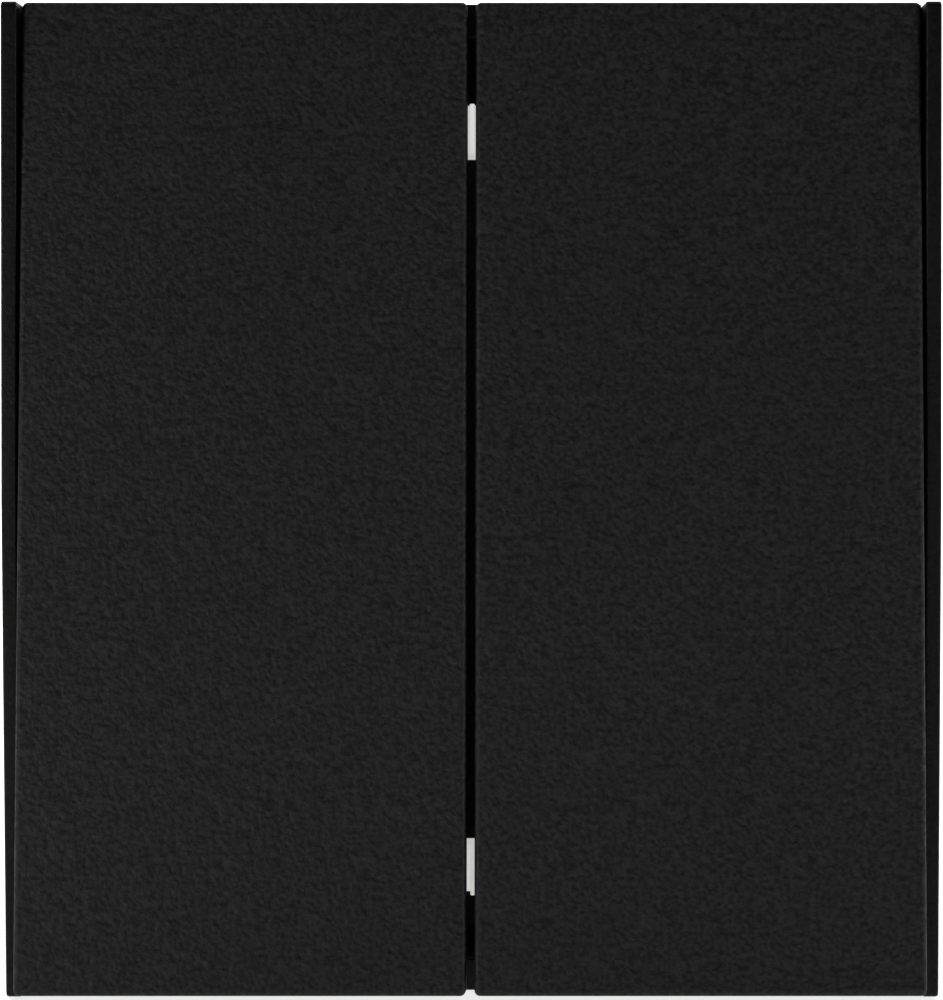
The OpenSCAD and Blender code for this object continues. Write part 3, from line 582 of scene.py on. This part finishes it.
def make_opal(colours):
    """Opal white moulding with a painted glow: it gives off light of its own, as if lit by the indicator
    lamp.
    """
    tree, shader, where = fresh("opal")
    haze = noise(tree, where, 0.8, 2.0, 0.5)
    dark, light = shades(colours.guide_white, 0.93, 1.0)
    glow = blend(tree, spread(tree, haze, 0, 1), dark, light)
    # Painted glow: this emission stands in for the indicator lamp's light, and the lamp itself gives none
    tree.links.new(glow, shader.inputs["Emission Color"])
    shader.inputs["Emission Strength"].default_value = 0.6
    dark, light = shades(colours.guide_white, 0.4, 0.45)
    tree.links.new(blend(tree, spread(tree, haze, 0, 1), dark, light), shader.inputs["Base Color"])
    tree.links.new(spread(tree, haze, 0.3, 0.42), shader.inputs["Roughness"])
    tree.links.new(relief(tree, noise(tree, where, 0.2), 0.003), shader.inputs["Normal"])


def make_board(colours):
    """Green solder mask over a glass weave, with the traces under it."""
    tree, shader, where = fresh("board_green")
    weave = []
    for direction in ("X", "Z"):
        texture = tree.nodes.new("ShaderNodeTexWave")
        texture.bands_direction = direction
        texture.inputs["Scale"].default_value = 1 / (1.2 * MM)
        texture.inputs["Distortion"].default_value = 0.6
        tree.links.new(where, texture.inputs["Vector"])
        weave.append(texture.outputs["Fac"])
    cloth = tree.nodes.new("ShaderNodeMath")
    cloth.operation = "MULTIPLY"
    tree.links.new(weave[0], cloth.inputs[0])
    tree.links.new(weave[1], cloth.inputs[1])
    traces = tree.nodes.new("ShaderNodeTexBrick")
    traces.inputs["Scale"].default_value = 1 / (6 * MM)
    traces.inputs["Mortar Size"].default_value = 0.06
    turn_upright = tree.nodes.new("ShaderNodeMapping")
    turn_upright.inputs["Rotation"].default_value = (math.pi / 2, 0, 0)
    tree.links.new(where, turn_upright.inputs["Vector"])
    tree.links.new(turn_upright.outputs["Vector"], traces.inputs["Vector"])
    dark, light = shades(colours.board_green, 0.75, 1.2)
    mask = blend(tree, cloth.outputs[0], dark, light)
    over_trace = shades(colours.board_green, 1, 1.9)[1]
    tree.links.new(blend(tree, traces.outputs["Fac"], mask, over_trace), shader.inputs["Base Color"])
    haze = noise(tree, where, 1.5)
    tree.links.new(spread(tree, haze, 0.28, 0.42), shader.inputs["Roughness"])
    tree.links.new(relief(tree, cloth.outputs[0], 0.01), shader.inputs["Normal"])


def make_finishes():
    """Every finish of the switch: one for each material slot, and a satin black for the front frame."""
    c = bpy.context.scene.switch_colours
    # Both blacks carry painted light from below, paler at the foot and darker at the top: 12 % on the
    # rockers, 60 % on the front frame
    make_face_black("black_textured", c.face_black, rough=0.52, grain=0.24, depth=0.055, contrast=0.8,
                    level=0.16, painted_light_swing=0.12)
    make_face_black("black_satin", c.cheek_black, rough=0.42, grain=0.18, depth=0.02, contrast=0.6,
                    level=0.1, painted_light_swing=0.6)
    make_opal(c)
    make_board(c)
    moulded("housing_grey", c.housing_grey, rough=0.5, grain=0.16, depth=0.008, contrast=0.2, level=0.4,
            streaks=0.006)
    moulded("cover_grey", c.cover_grey, rough=0.42, grain=0.2, depth=0.006, contrast=0.05, level=0.45)
    moulded("actuator_white", c.actuator_white, rough=0.38, grain=0.25, depth=0.004, contrast=0.04,
            level=0.45)
    moulded("button_orange", c.button_orange, rough=0.33, grain=0.22, depth=0.004, contrast=0.08, level=0.5,
            coat=0.15)
    moulded("lamp_clear", c.lamp_clear, rough=0.18, grain=0.5, depth=0.002, contrast=0.05, level=0.5,
            coat=0.4)
    moulded("component_black", c.component_black, rough=0.4, grain=0.08, depth=0.003, contrast=0.2,
            level=0.45)
    metal("copper", c.copper, rough=0.27, lines=0.12, depth=0.003)
    metal("brass", c.brass, rough=0.3, lines=0.1, depth=0.003)
    metal("contact_silver", c.silver, rough=0.24, lines=0.3, depth=0.002, tarnish=0.35, drawn=(1, 1, 1))
    metal("spring_steel", c.spring_steel, rough=0.3, lines=0.08, depth=0.002, tarnish=0.2,
          drawn=(1, 0.03, 0.03))
    metal("zinc_steel", c.zinc_steel, rough=0.34, lines=0.35, depth=0.003, tarnish=0.2, drawn=(1, 1, 1))


# ---- operators, one for each piece or group of like pieces ----


class SWITCH_OT_finishes(bpy.types.Operator):
    """Makes every finish and gives the design nodes theirs"""

    bl_idname = "switch.finishes"
    bl_label = "Finishes"

    def execute(self, context):
        make_finishes()
        slots = {part["node"]: part["material_slot"] for part in frame["record"]["subparts"]}
        for node, piece in frame["nodes"].items():
            for seat in piece.material_slots:
                seat.material = bpy.data.materials[slots[node]]
        return {"FINISHED"}


class SWITCH_OT_rockers(bpy.types.Operator):
    """Models the two rockers with rounded faces, skirts, ribs and clips"""

    bl_idname = "switch.rockers"
    bl_label = "Rockers"

    def execute(self, context):
        p = plan()
        half = p.rocker_h / 2
        plate = block("rocker_plate_right", (p.inner_x, p.face_y, -half), (p.outer_x, p.plate_back, half))
        round_edges(plate, p.corner_round, lambda e: abs(run(e).y) > 0.99, 5)
        round_edges(plate, p.rocker_round, lambda e: all(near(v.co.y / MM, p.face_y) for v in e.verts), 4)

        def on_back(f):
            return f.normal.y > 0.99 and near(centre(f).y, p.plate_back)

        left, right = p.inner_x + p.inner_inset, p.outer_x
        rib_z, rib_half = 12.0, 0.4
        clip_z0, clip_z1, clip_half = 5.1, 6.4, 3.0
        rib_rise, clip_rise, hook_t, hook_reach = 1.1, 1.3, 0.6, 0.9
        slice_at(plate, on_back, 0, [left, left + p.skirt_t, right - p.skirt_t,
                                     p.gang_x - clip_half, p.gang_x + clip_half])
        rows = [p.skirt_end, p.skirt_end - p.skirt_t, rib_z + rib_half, rib_z - rib_half, clip_z0, clip_z1]
        slice_at(plate, on_back, 2, rows + [-z for z in rows])

        def in_skirt(f):
            c = centre(f)
            inside = left < c.x < right and abs(c.z) < p.skirt_end
            hollow = left + p.skirt_t < c.x < right - p.skirt_t and abs(c.z) < p.skirt_end - p.skirt_t
            return on_back(f) and inside and not hollow

        push(plate, in_skirt, (0, p.skirt_back - p.plate_back, 0))

        def in_rib(f):
            c = centre(f)
            return (on_back(f) and near(abs(c.z), rib_z, rib_half)
                    and left + p.skirt_t < c.x < right - p.skirt_t)

        push(plate, in_rib, (0, rib_rise, 0))

        def in_clip(f):
            c = centre(f)
            return f.normal.y > 0.99 and clip_z0 < abs(c.z) < clip_z1 and near(c.x, p.gang_x, clip_half)

        hook_y = p.plate_back + clip_rise
        push(plate, lambda f: on_back(f) and in_clip(f), (0, clip_rise, 0))
        push(plate, lambda f: in_clip(f) and near(centre(f).y, hook_y), (0, hook_t, 0))
        for d in (-1, 1):

            def inner_side(f):
                c = centre(f)
                return f.normal.z * d < -0.99 and near(c.y, hook_y + hook_t / 2) and near(c.z * d, clip_z0)

            def hook_corner(v):
                return near(centre(v).y, hook_y + hook_t) and near(centre(v).z * d, clip_z0 - hook_reach)

            push(plate, inner_side, (0, 0, -hook_reach * d))
            shift(plate, "VERT", hook_corner, (0, 0, hook_t * d))
        tidy(plate)
        soften(plate, 0.07, 2, 50)
        other = copied(plate, "rocker_plate_left", mirror=0)
        for piece, side in ((plate, "right"), (other, "left")):
            tilt(piece, -p.rocker_tilt, p.axis_y)
            shade(piece, 30)
            place(piece, "rocker_" + side, ["rocker_" + side], "black_textured")
        return {"FINISHED"}


class SWITCH_OT_front_frame(bpy.types.Operator):
    """Models the tray with its sloping cheeks, end bars, centre rib and snap hooks"""

    bl_idname = "switch.front_frame"
    bl_label = "Front frame"

    def execute(self, context):
        p = plan()
        half_h = p.cheek_h / 2 + p.tray_lip
        tray = block("front_tray", (-p.half_span, -p.floor_t, -half_h), (p.half_span, 0, half_h))
        round_edges(tray, 0.12, lambda e: all(near(v.co.y, 0) for v in e.verts), 3)
        for d in (-1, 1):
            low, high = sorted((d * half_h, d * (half_h - p.bar_t)))
            bar = block("bar", (-p.cheek_inner - 0.01, p.bar_y, low), (p.cheek_inner + 0.01, -0.7, high))
            round_edges(bar, 0.12, lambda e: abs(run(e).x) > 0.99 and near(centre(e).y, p.bar_y), 3)
            combine(tray, bar)
        for side in SIDES.values():
            combine(tray, self.cheek(p, side))
        for low, high in self.openings(p):
            cut(tray, block("opening", low, high))
        rib = block("rib", (-0.5, p.rib_y, -p.rib_half_h), (0.5, -p.floor_t + 0.01, p.rib_half_h))
        round_edges(rib, 0.1, lambda e: all(near(v.co.y / MM, p.rib_y) for v in e.verts), 2)
        combine(tray, rib)
        for side in SIDES.values():
            for z in (-SCREW_Z, SCREW_Z):
                combine(tray, self.hook(p, side, z))
        tidy(tray)
        shade(tray, 30)
        place(tray, "base", ["front_frame"], "black_textured", "black_satin")
        return {"FINISHED"}

    def cheek(self, p, side):
        """A cheek whose front slopes back from its ridge, with round ends and edges."""
        end = p.cheek_h / 2
        x0 = -p.half_span if side < 0 else p.cheek_inner
        cheek = block("cheek", (x0, -p.ridge_depth, -end), (x0 + p.cheek_t, -0.4, end))
        slice_at(cheek, lambda f: True, 2, [0])

        def at_end(item, y):
            return near(abs(centre(item).z), end) and near(centre(item).y, y)

        back = p.cheek_end_y + p.ridge_depth
        shift(cheek, "VERT", lambda v: at_end(v, -p.ridge_depth), (0, back, 0))
        round_edges(cheek, 0.3, lambda e: abs(run(e).x) > 0.99 and at_end(e, p.cheek_end_y), 5)

        def on_side(e):
            c = centre(e)
            beside = min(abs(c.x - x) for x in (x0, x0 + p.cheek_t)) < 0.01
            return beside and abs(run(e).x) < 0.1 and c.y < -0.6 and not near(c.z, 0, 0.01)

        round_edges(cheek, 0.11, on_side, 3)
        return cheek

    def openings(self, p):
        """Pocket for the base, windows for the actuators and slots for the light guides."""
        w, h = p.base_half_w + 0.1, p.base_half_h + 0.1
        yield (-w, -p.back_pocket, -h), (w, 1, h)
        for side in SIDES.values():
            x = side * p.gang_x
            yield (x - 9, -2, -6.5), (x + 9, -p.back_pocket + 0.2, 6.5)
        for z in (-p.guide_z, p.guide_z):
            half = p.guide_h / 2
            for w, h, y in ((0.55, half + 0.1, -3), (1.2, half + 0.7, -p.back_pocket - 0.5)):
                yield (-w, y, z - h), (w, 0.5, z + h)

    def hook(self, p, side, z):
        """A snap hook: an arm behind the floor with a sloped barb that points inwards."""
        inner, outer = p.base_half_w + 0.08, p.half_span - 0.12
        end, barb = 5.6, 0.6
        low, high = sorted((side * inner, side * outer))
        hook = block("hook", (low, -0.7, z - 2), (high, end, z + 2))

        def inside(f):
            return f.normal.x * side < -0.99

        slice_at(hook, inside, 1, [4.3, 4.6])
        push(hook, lambda f: inside(f) and centre(f).y > 4.6, (-barb * side, 0, 0))
        shift(hook, "VERT", lambda v: near(centre(v).x * side, inner - barb) and near(centre(v).y, end),
              (0.55 * side, 0, 0))
        round_edges(hook, 0.1, lambda e: centre(e).y > end - 0.1, 2)
        return hook


class SWITCH_OT_light_guides(bpy.types.Operator):
    """Models the two opal light guides with their thin, domed windows"""

    bl_idname = "switch.light_guides"
    bl_label = "Light guides"

    def execute(self, context):
        p = plan()
        half = p.guide_h / 2
        back = -p.back_pocket - 0.02
        guide = block("light_guide_window_upper", (-0.45, p.guide_front, -half), (0.45, back, half))

        def in_front(f):
            return f.normal.y < -0.99 and near(centre(f).y, p.guide_front)

        slice_at(guide, in_front, 0, [-p.guide_left, p.guide_right])
        tip = (0, p.guide_tip_y - p.guide_front, 0)
        push(guide, lambda f: in_front(f) and near(centre(f).x, 0, 0.05), tip)
        round_edges(guide, 0.07, lambda e: centre(e).y < p.guide_tip_y + 0.01, 3)

        def around(f):
            return abs(f.normal.y) < 0.1 and centre(f).y > p.guide_front + 0.05

        slice_at(guide, around, 1, [back - 0.46])
        pick(guide, "FACE", lambda f: around(f) and centre(f).y > back - 0.4)
        bpy.ops.mesh.extrude_region_shrink_fatten(TRANSFORM_OT_shrink_fatten={"value": 0.6 * MM})
        settle()
        tidy(guide)
        soften(guide, 0.05, 2, 50)
        lower = copied(guide, "light_guide_window_lower", (0, 0, -p.guide_z))
        hold(guide)
        guide.location.z = p.guide_z * MM
        bpy.ops.object.transform_apply(location=True, rotation=True, scale=True)
        for piece, name in ((guide, "upper"), (lower, "lower")):
            shade(piece, 40)
            place(piece, "base", ["light_guide_" + name], "opal")
        return {"FINISHED"}


class SWITCH_OT_base_housing(bpy.types.Operator):
    """Finishes the base housing with rounded rims and pocket edges"""

    bl_idname = "switch.base_housing"
    bl_label = "Base housing"

    def execute(self, context):
        p = plan()
        base = copy_of_node("base_housing", "base_shell")

        def on_rim(e):
            return all(near(v.co.y / MM, p.base_depth) for v in e.verts)

        def sharp(e):
            return len(e.link_faces) == 2 and e.calc_face_angle(0) > math.radians(50)

        def on_latch_pocket(e):
            return near(abs(centre(e).z), p.base_half_h) and centre(e).y > 0.5

        round_edges(base, 0.22, lambda e: on_rim(e) and sharp(e), 3)
        round_edges(base, 0.15, lambda e: sharp(e) and not on_rim(e) and on_latch_pocket(e), 2)
        tidy(base)
        shade(base, 35)
        place(base, "base", ["base_housing"], "housing_grey")
        return {"FINISHED"}


class SWITCH_OT_terminal_cover(bpy.types.Operator):
    """Models the terminal cover with its collared wire entries and button windows"""

    bl_idname = "switch.terminal_cover"
    bl_label = "Terminal cover"

    def execute(self, context):
        p = plan()
        back = p.base_depth
        w, h = p.base_half_w - 1.5, p.base_half_h - 1.9
        cover = block("terminal_plate", (-w, p.cover_y, -h), (w, back, h))
        round_edges(cover, 0.6, lambda e: abs(run(e).y) > 0.99, 5)
        round_edges(cover, 0.2, lambda e: all(near(v.co.y / MM, back) for v in e.verts), 3)
        bore, collar_rise = p.wire_entry, 0.2
        screws = [(0, z) for z in (-SCREW_Z, SCREW_Z)]
        seats = [(side * p.gang_x, seat, d) for side in SIDES.values() for seat, d in TERMINALS.values()]
        wires = [(x, seat + d * WIRE_REACH) for x, seat, d in seats]
        for x, z in wires:
            collar = rod("collar", bore + 0.7, x, back - 0.6, back + collar_rise, z, 64)
            round_edges(collar, 0.1, lambda e: near(centre(e).y, back + collar_rise), 2)
            combine(cover, collar)
        mouth = lathe("mouth", [(0, p.cover_y - 1), (bore, p.cover_y - 1), (bore, back - 0.4),
                                (bore + 0.6, back + 0.25), (0, back + 0.25)], 1, 60)
        for x, z in wires:
            cut(cover, copied(mouth, "mouth", (x, 0, z)))
        bpy.data.objects.remove(mouth)
        half_w, half_h = p.button_w / 2 + 0.15, 1.4
        for x, seat, d in seats:
            z = seat + d * BUTTON_REACH
            low = (x - half_w, p.cover_y - 1, z - half_h)
            cut(cover, block("window", low, (x + half_w, back + 1, z + half_h)))
        for x, z in screws:
            cut(cover, rod("hole", 1.1, x, p.cover_y - 1, back + 1, z))
            cut(cover, rod("sink", 1.95, x, back - 1.05, back + 1, z, 64))
        tidy(cover)
        shade(cover, 35)
        place(cover, "base", ["terminal_cover"], "cover_grey")
        return {"FINISHED"}


class SWITCH_OT_release_buttons(bpy.types.Operator):
    """Models the six release buttons with collars and driver slots"""

    bl_idname = "switch.release_buttons"
    bl_label = "Release buttons"

    def execute(self, context):
        p = plan()
        half, tall, back = p.button_w / 2, 1.25, p.base_depth + 0.4
        inner_end = 18.2
        button = block("release_button", (-half, inner_end, -tall), (half, back, tall))

        def side_face(f):
            return abs(f.normal.y) < 0.1

        slice_at(button, side_face, 1, [p.cover_y - 1, p.cover_y - 0.2])
        pick(button, "FACE", lambda f: side_face(f) and near(centre(f).y, p.cover_y - 0.6, 0.1))
        bpy.ops.mesh.extrude_region_shrink_fatten(TRANSFORM_OT_shrink_fatten={"value": 0.4 * MM})
        settle()

        def end_face(f):
            return f.normal.y > 0.99 and near(centre(f).y, back)

        slice_at(button, end_face, 2, [-0.3, 0.3])
        push(button, lambda f: end_face(f) and near(centre(f).z, 0), (0, -0.8, 0))
        tidy(button)
        soften(button, 0.12, 3, 50)
        shade(button, 35)
        for side, sign in SIDES.items():
            for name, (seat, d) in TERMINALS.items():
                node = f"{name}_button_{side}"
                key = copied(button, f"{name}_release_{side}", (sign * p.gang_x, 0, seat + d * BUTTON_REACH))
                place(key, node, [node], "button_orange")
        bpy.data.objects.remove(button)
        return {"FINISHED"}


class SWITCH_OT_screws(bpy.types.Operator):
    """Turns the screws with round-edged crossed heads and threaded shanks"""

    bl_idname = "switch.screws"
    bl_label = "Screws"

    def execute(self, context):
        p = plan()
        inner_w, inner_h = p.base_half_w - 4.0, p.base_half_h - 4.4
        front = [(x, z) for x in (-inner_w, inner_w) for z in (-inner_h, inner_h)]
        rear = [(0, -SCREW_Z), (0, SCREW_Z)]
        low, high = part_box("cover_screws")
        lengths = {"cover_screws": -low.y / MM + high.y / MM, "terminal_cover_screws": 8.4}
        for node, spots, head_y, d in (
            ("cover_screws", front, -p.back_pocket + 0.1, 1),
            ("terminal_cover_screws", rear, p.base_depth - 0.1, -1),
        ):
            screw = self.screw(lengths[node], d)
            group = None
            for x, z in spots:
                twin = copied(screw, "screw", (x, head_y, z))
                if group is None:
                    group = twin
                else:
                    hold(group)
                    twin.select_set(True)
                    bpy.ops.object.join()
                    settle()
            bpy.data.objects.remove(screw)
            group.name = group.data.name = node.replace("screws", "fixings")
            shade(group, 35)
            place(group, "base", [node], "zinc_steel")
        return {"FINISHED"}

    def screw(self, l, d):
        """One screw whose head lies at Y = 0 and whose shank runs towards d along Y."""
        head, under, shank, root = 1.8, 0.95, 0.9, 0.7
        outline = [(0, 0), (1.5, 0), (1.7, 0.08), (head, 0.28), (head, 0.85), (1.72, under), (shank, under)]
        y = under + 0.3
        while y < l - 0.9:
            outline += [(shank, y), (root, y + 0.2), (root, y + 0.3), (shank, y + 0.5)]
            y += 0.62
        outline += [(root, l - 0.6), (0, l)]
        screw = lathe("screw_blank", outline, d)
        for w, h in ((1.15, 0.25), (0.25, 1.15)):
            cut(screw, block("recess", (-w, min(-d, d * 0.45), -h), (w, max(-d, d * 0.45), h)))
        return screw


class SWITCH_OT_latches(bpy.types.Operator):
    """Bends the two spring latches from strip with rounded bends and edges"""

    bl_idname = "switch.latches"
    bl_label = "Latches"

    def execute(self, context):
        p = plan()
        half = p.latch_w / 2
        h = p.base_half_h
        crest = h + p.latch_lift - p.latch_t / 2
        root, bend_out, bend_in = (14.85, h), (10.5, h), (3.6, crest)
        line = [(14.85, h - 1), root, bend_out, bend_in, (2.4, crest - 0.65)]
        settle()
        bpy.ops.mesh.primitive_plane_add(size=p.latch_w * MM, location=(0, line[0][0] * MM, line[0][1] * MM))
        strip = apply_place("spring_latch_top")
        pick(strip, "VERT", lambda v: True)
        bpy.ops.transform.resize(value=(1, 0, 1))
        bpy.ops.mesh.remove_doubles(threshold=0.01 * MM)
        for (y0, z0), (y1, z1) in zip(line, line[1:]):
            leg = (0, (y1 - y0) * MM, (z1 - z0) * MM)
            bpy.ops.mesh.extrude_region_move(TRANSFORM_OT_translate={"value": leg})
        settle()
        for (y, z), radius in ((root, 0.4), (bend_out, 1.2), (bend_in, 0.7)):

            def on_bend(e):
                return abs(run(e).x) > 0.99 and near(centre(e).y, y) and near(centre(e).z, z)

            round_edges(strip, radius, on_bend, 5)
        hold(strip)
        step = strip.modifiers.new("Sheet", "SOLIDIFY")
        step.thickness, step.offset, step.use_even_offset = p.latch_t * MM, 0, True
        bpy.ops.object.modifier_apply(modifier=step.name)
        tidy_normals(strip)
        round_edges(strip, 1.2, lambda e: corner(e, half) and centre(e).y < 2.7 and abs(run(e).x) < 0.1, 4)
        soften(strip, 0.07, 2, 50)
        other = copied(strip, "spring_latch_bottom", mirror=2)
        for piece, side in ((strip, "top"), (other, "bottom")):
            shade(piece, 35)
            place(piece, "latch_" + side, ["latch_" + side], "spring_steel")
        return {"FINISHED"}


class SWITCH_OT_stage(bpy.types.Operator):
    """Sets the pale floor and backdrop, the soft lights and the camera"""

    bl_idname = "switch.stage"
    bl_label = "Stage"

    def execute(self, context):
        p = plan()
        self.floor(p)
        self.lights()
        self.camera(p)
        context.scene.view_settings.view_transform = "Standard"
        return {"FINISHED"}

    def floor(self, p):
        """One sheet that runs from the floor up into a backdrop."""
        settle()
        floor_z = -(p.cheek_h / 2 + p.tray_lip) - 0.02
        wide, back = 2600, 1000
        bpy.ops.mesh.primitive_plane_add(size=MM, location=(0, (back - wide / 2) * MM, floor_z * MM))
        bpy.context.object.scale = (wide, wide, 1)
        sheet = apply_place("studio_floor")
        pick(sheet, "EDGE", lambda e: abs(run(e).x) > 0.99 and centre(e).y > 0)
        bpy.ops.mesh.extrude_region_move(TRANSFORM_OT_translate={"value": (0, 0, 1.6)})
        settle()
        round_edges(sheet, 400, lambda e: near(centre(e).y, back, 1) and near(centre(e).z, floor_z, 1), 16)
        hold(sheet)
        bpy.ops.object.shade_smooth_by_angle(angle=math.radians(40))
        tree, shader, where = fresh("studio_white")
        dark, light = shades(bpy.context.scene.switch_colours.floor_white, 0.985, 1.0)
        tree.links.new(blend(tree, noise(tree, where, 60), dark, light), shader.inputs["Base Color"])
        shader.inputs["Roughness"].default_value = 0.9
        shader.inputs["Specular IOR Level"].default_value = 0.1
        shader.inputs["Emission Color"].default_value = (1, 1, 1, 1)
        shader.inputs["Emission Strength"].default_value = 0.78
        sheet.data.materials.append(bpy.data.materials["studio_white"])

    def lights(self):
        """Large soft panels: left and right of the front, above, and behind."""
        world = bpy.data.worlds.new("studio_air")
        bpy.context.scene.world = world
        world.use_nodes = True
        air = world.node_tree.nodes["Background"]
        air.inputs["Color"].default_value = (0.9, 0.9, 0.9, 1)
        air.inputs["Strength"].default_value = 0.16
        for name, place_mm, size, power in (
            ("left_panel", (-620, -260, 20), (400, 160), 1.1),
            ("right_panel", (640, -260, 20), (400, 160), 1.4),
            ("front_low", (-150, -200, -5), (80, 50), 0.12),
            ("top_panel", (0, 120, 800), (900, 400), 2.2),
            ("backdrop_wash", (0, 420, 500), (1200, 500), 8.0),
        ):
            lamp = bpy.data.lights.new(name, "AREA")
            lamp.shape = "RECTANGLE"
            lamp.size, lamp.size_y = size[0] * MM, size[1] * MM
            lamp.energy = power
            panel = bpy.data.objects.new(name, lamp)
            bpy.context.scene.collection.objects.link(panel)
            panel.location = [v * MM for v in place_mm]
            aim = (0, 1000, 200) if name == "backdrop_wash" else (0, -10, 0)
            panel.rotation_euler = (Vector(aim) * MM - panel.location).to_track_quat("-Z", "Y").to_euler()

    def camera(self, p):
        """A long lens a little right of the middle, looking slightly down."""
        lens = bpy.data.cameras.new("studio_camera")
        lens.sensor_fit, lens.sensor_width = "HORIZONTAL", 36
        lens.lens = 135.8
        lens.shift_x = -0.1018
        lens.clip_start, lens.clip_end = 0.01, 10
        camera = bpy.data.objects.new("studio_camera", lens)
        bpy.context.scene.collection.objects.link(camera)
        camera.location = (4.6 * MM, (-p.ridge_depth - 170) * MM, 6.2 * MM)
        camera.rotation_euler = (math.radians(90 - 2.055), 0, 0)
        bpy.context.scene.camera = camera


PIECES = (
    SWITCH_OT_finishes,
    SWITCH_OT_rockers,
    SWITCH_OT_front_frame,
    SWITCH_OT_light_guides,
    SWITCH_OT_base_housing,
    SWITCH_OT_terminal_cover,
    SWITCH_OT_release_buttons,
    SWITCH_OT_screws,
    SWITCH_OT_latches,
)


class SWITCH_PT_panel(bpy.types.Panel):
    """Lists the switch's pieces, sizes and colours"""

    bl_idname = "SWITCH_PT_panel"
    bl_label = "Two-gang switch"
    bl_space_type = "VIEW_3D"
    bl_region_type = "UI"
    bl_category = "Switch"

    def draw(self, context):
        for step in (*PIECES, SWITCH_OT_stage):
            self.layout.operator(step.bl_idname)
        for group in (context.scene.switch_sizes, context.scene.switch_colours):
            box = self.layout.box()
            for key in group.__annotations__:
                box.prop(group, key)


CLASSES = (SWITCH_PG_sizes, SWITCH_PG_colours, *PIECES, SWITCH_OT_stage, SWITCH_PT_panel)


def register():
    for cls in CLASSES:
        bpy.utils.register_class(cls)
    bpy.types.Scene.switch_sizes = PointerProperty(type=SWITCH_PG_sizes)
    bpy.types.Scene.switch_colours = PointerProperty(type=SWITCH_PG_colours)


def unregister():
    del bpy.types.Scene.switch_sizes
    del bpy.types.Scene.switch_colours
    for cls in reversed(CLASSES):
        bpy.utils.unregister_class(cls)


def main():
    register()
    for step in (*PIECES, SWITCH_OT_stage):
        group, name = step.bl_idname.split(".")
        getattr(getattr(bpy.ops, group), name)()


if __name__ == "__main__":
    main()
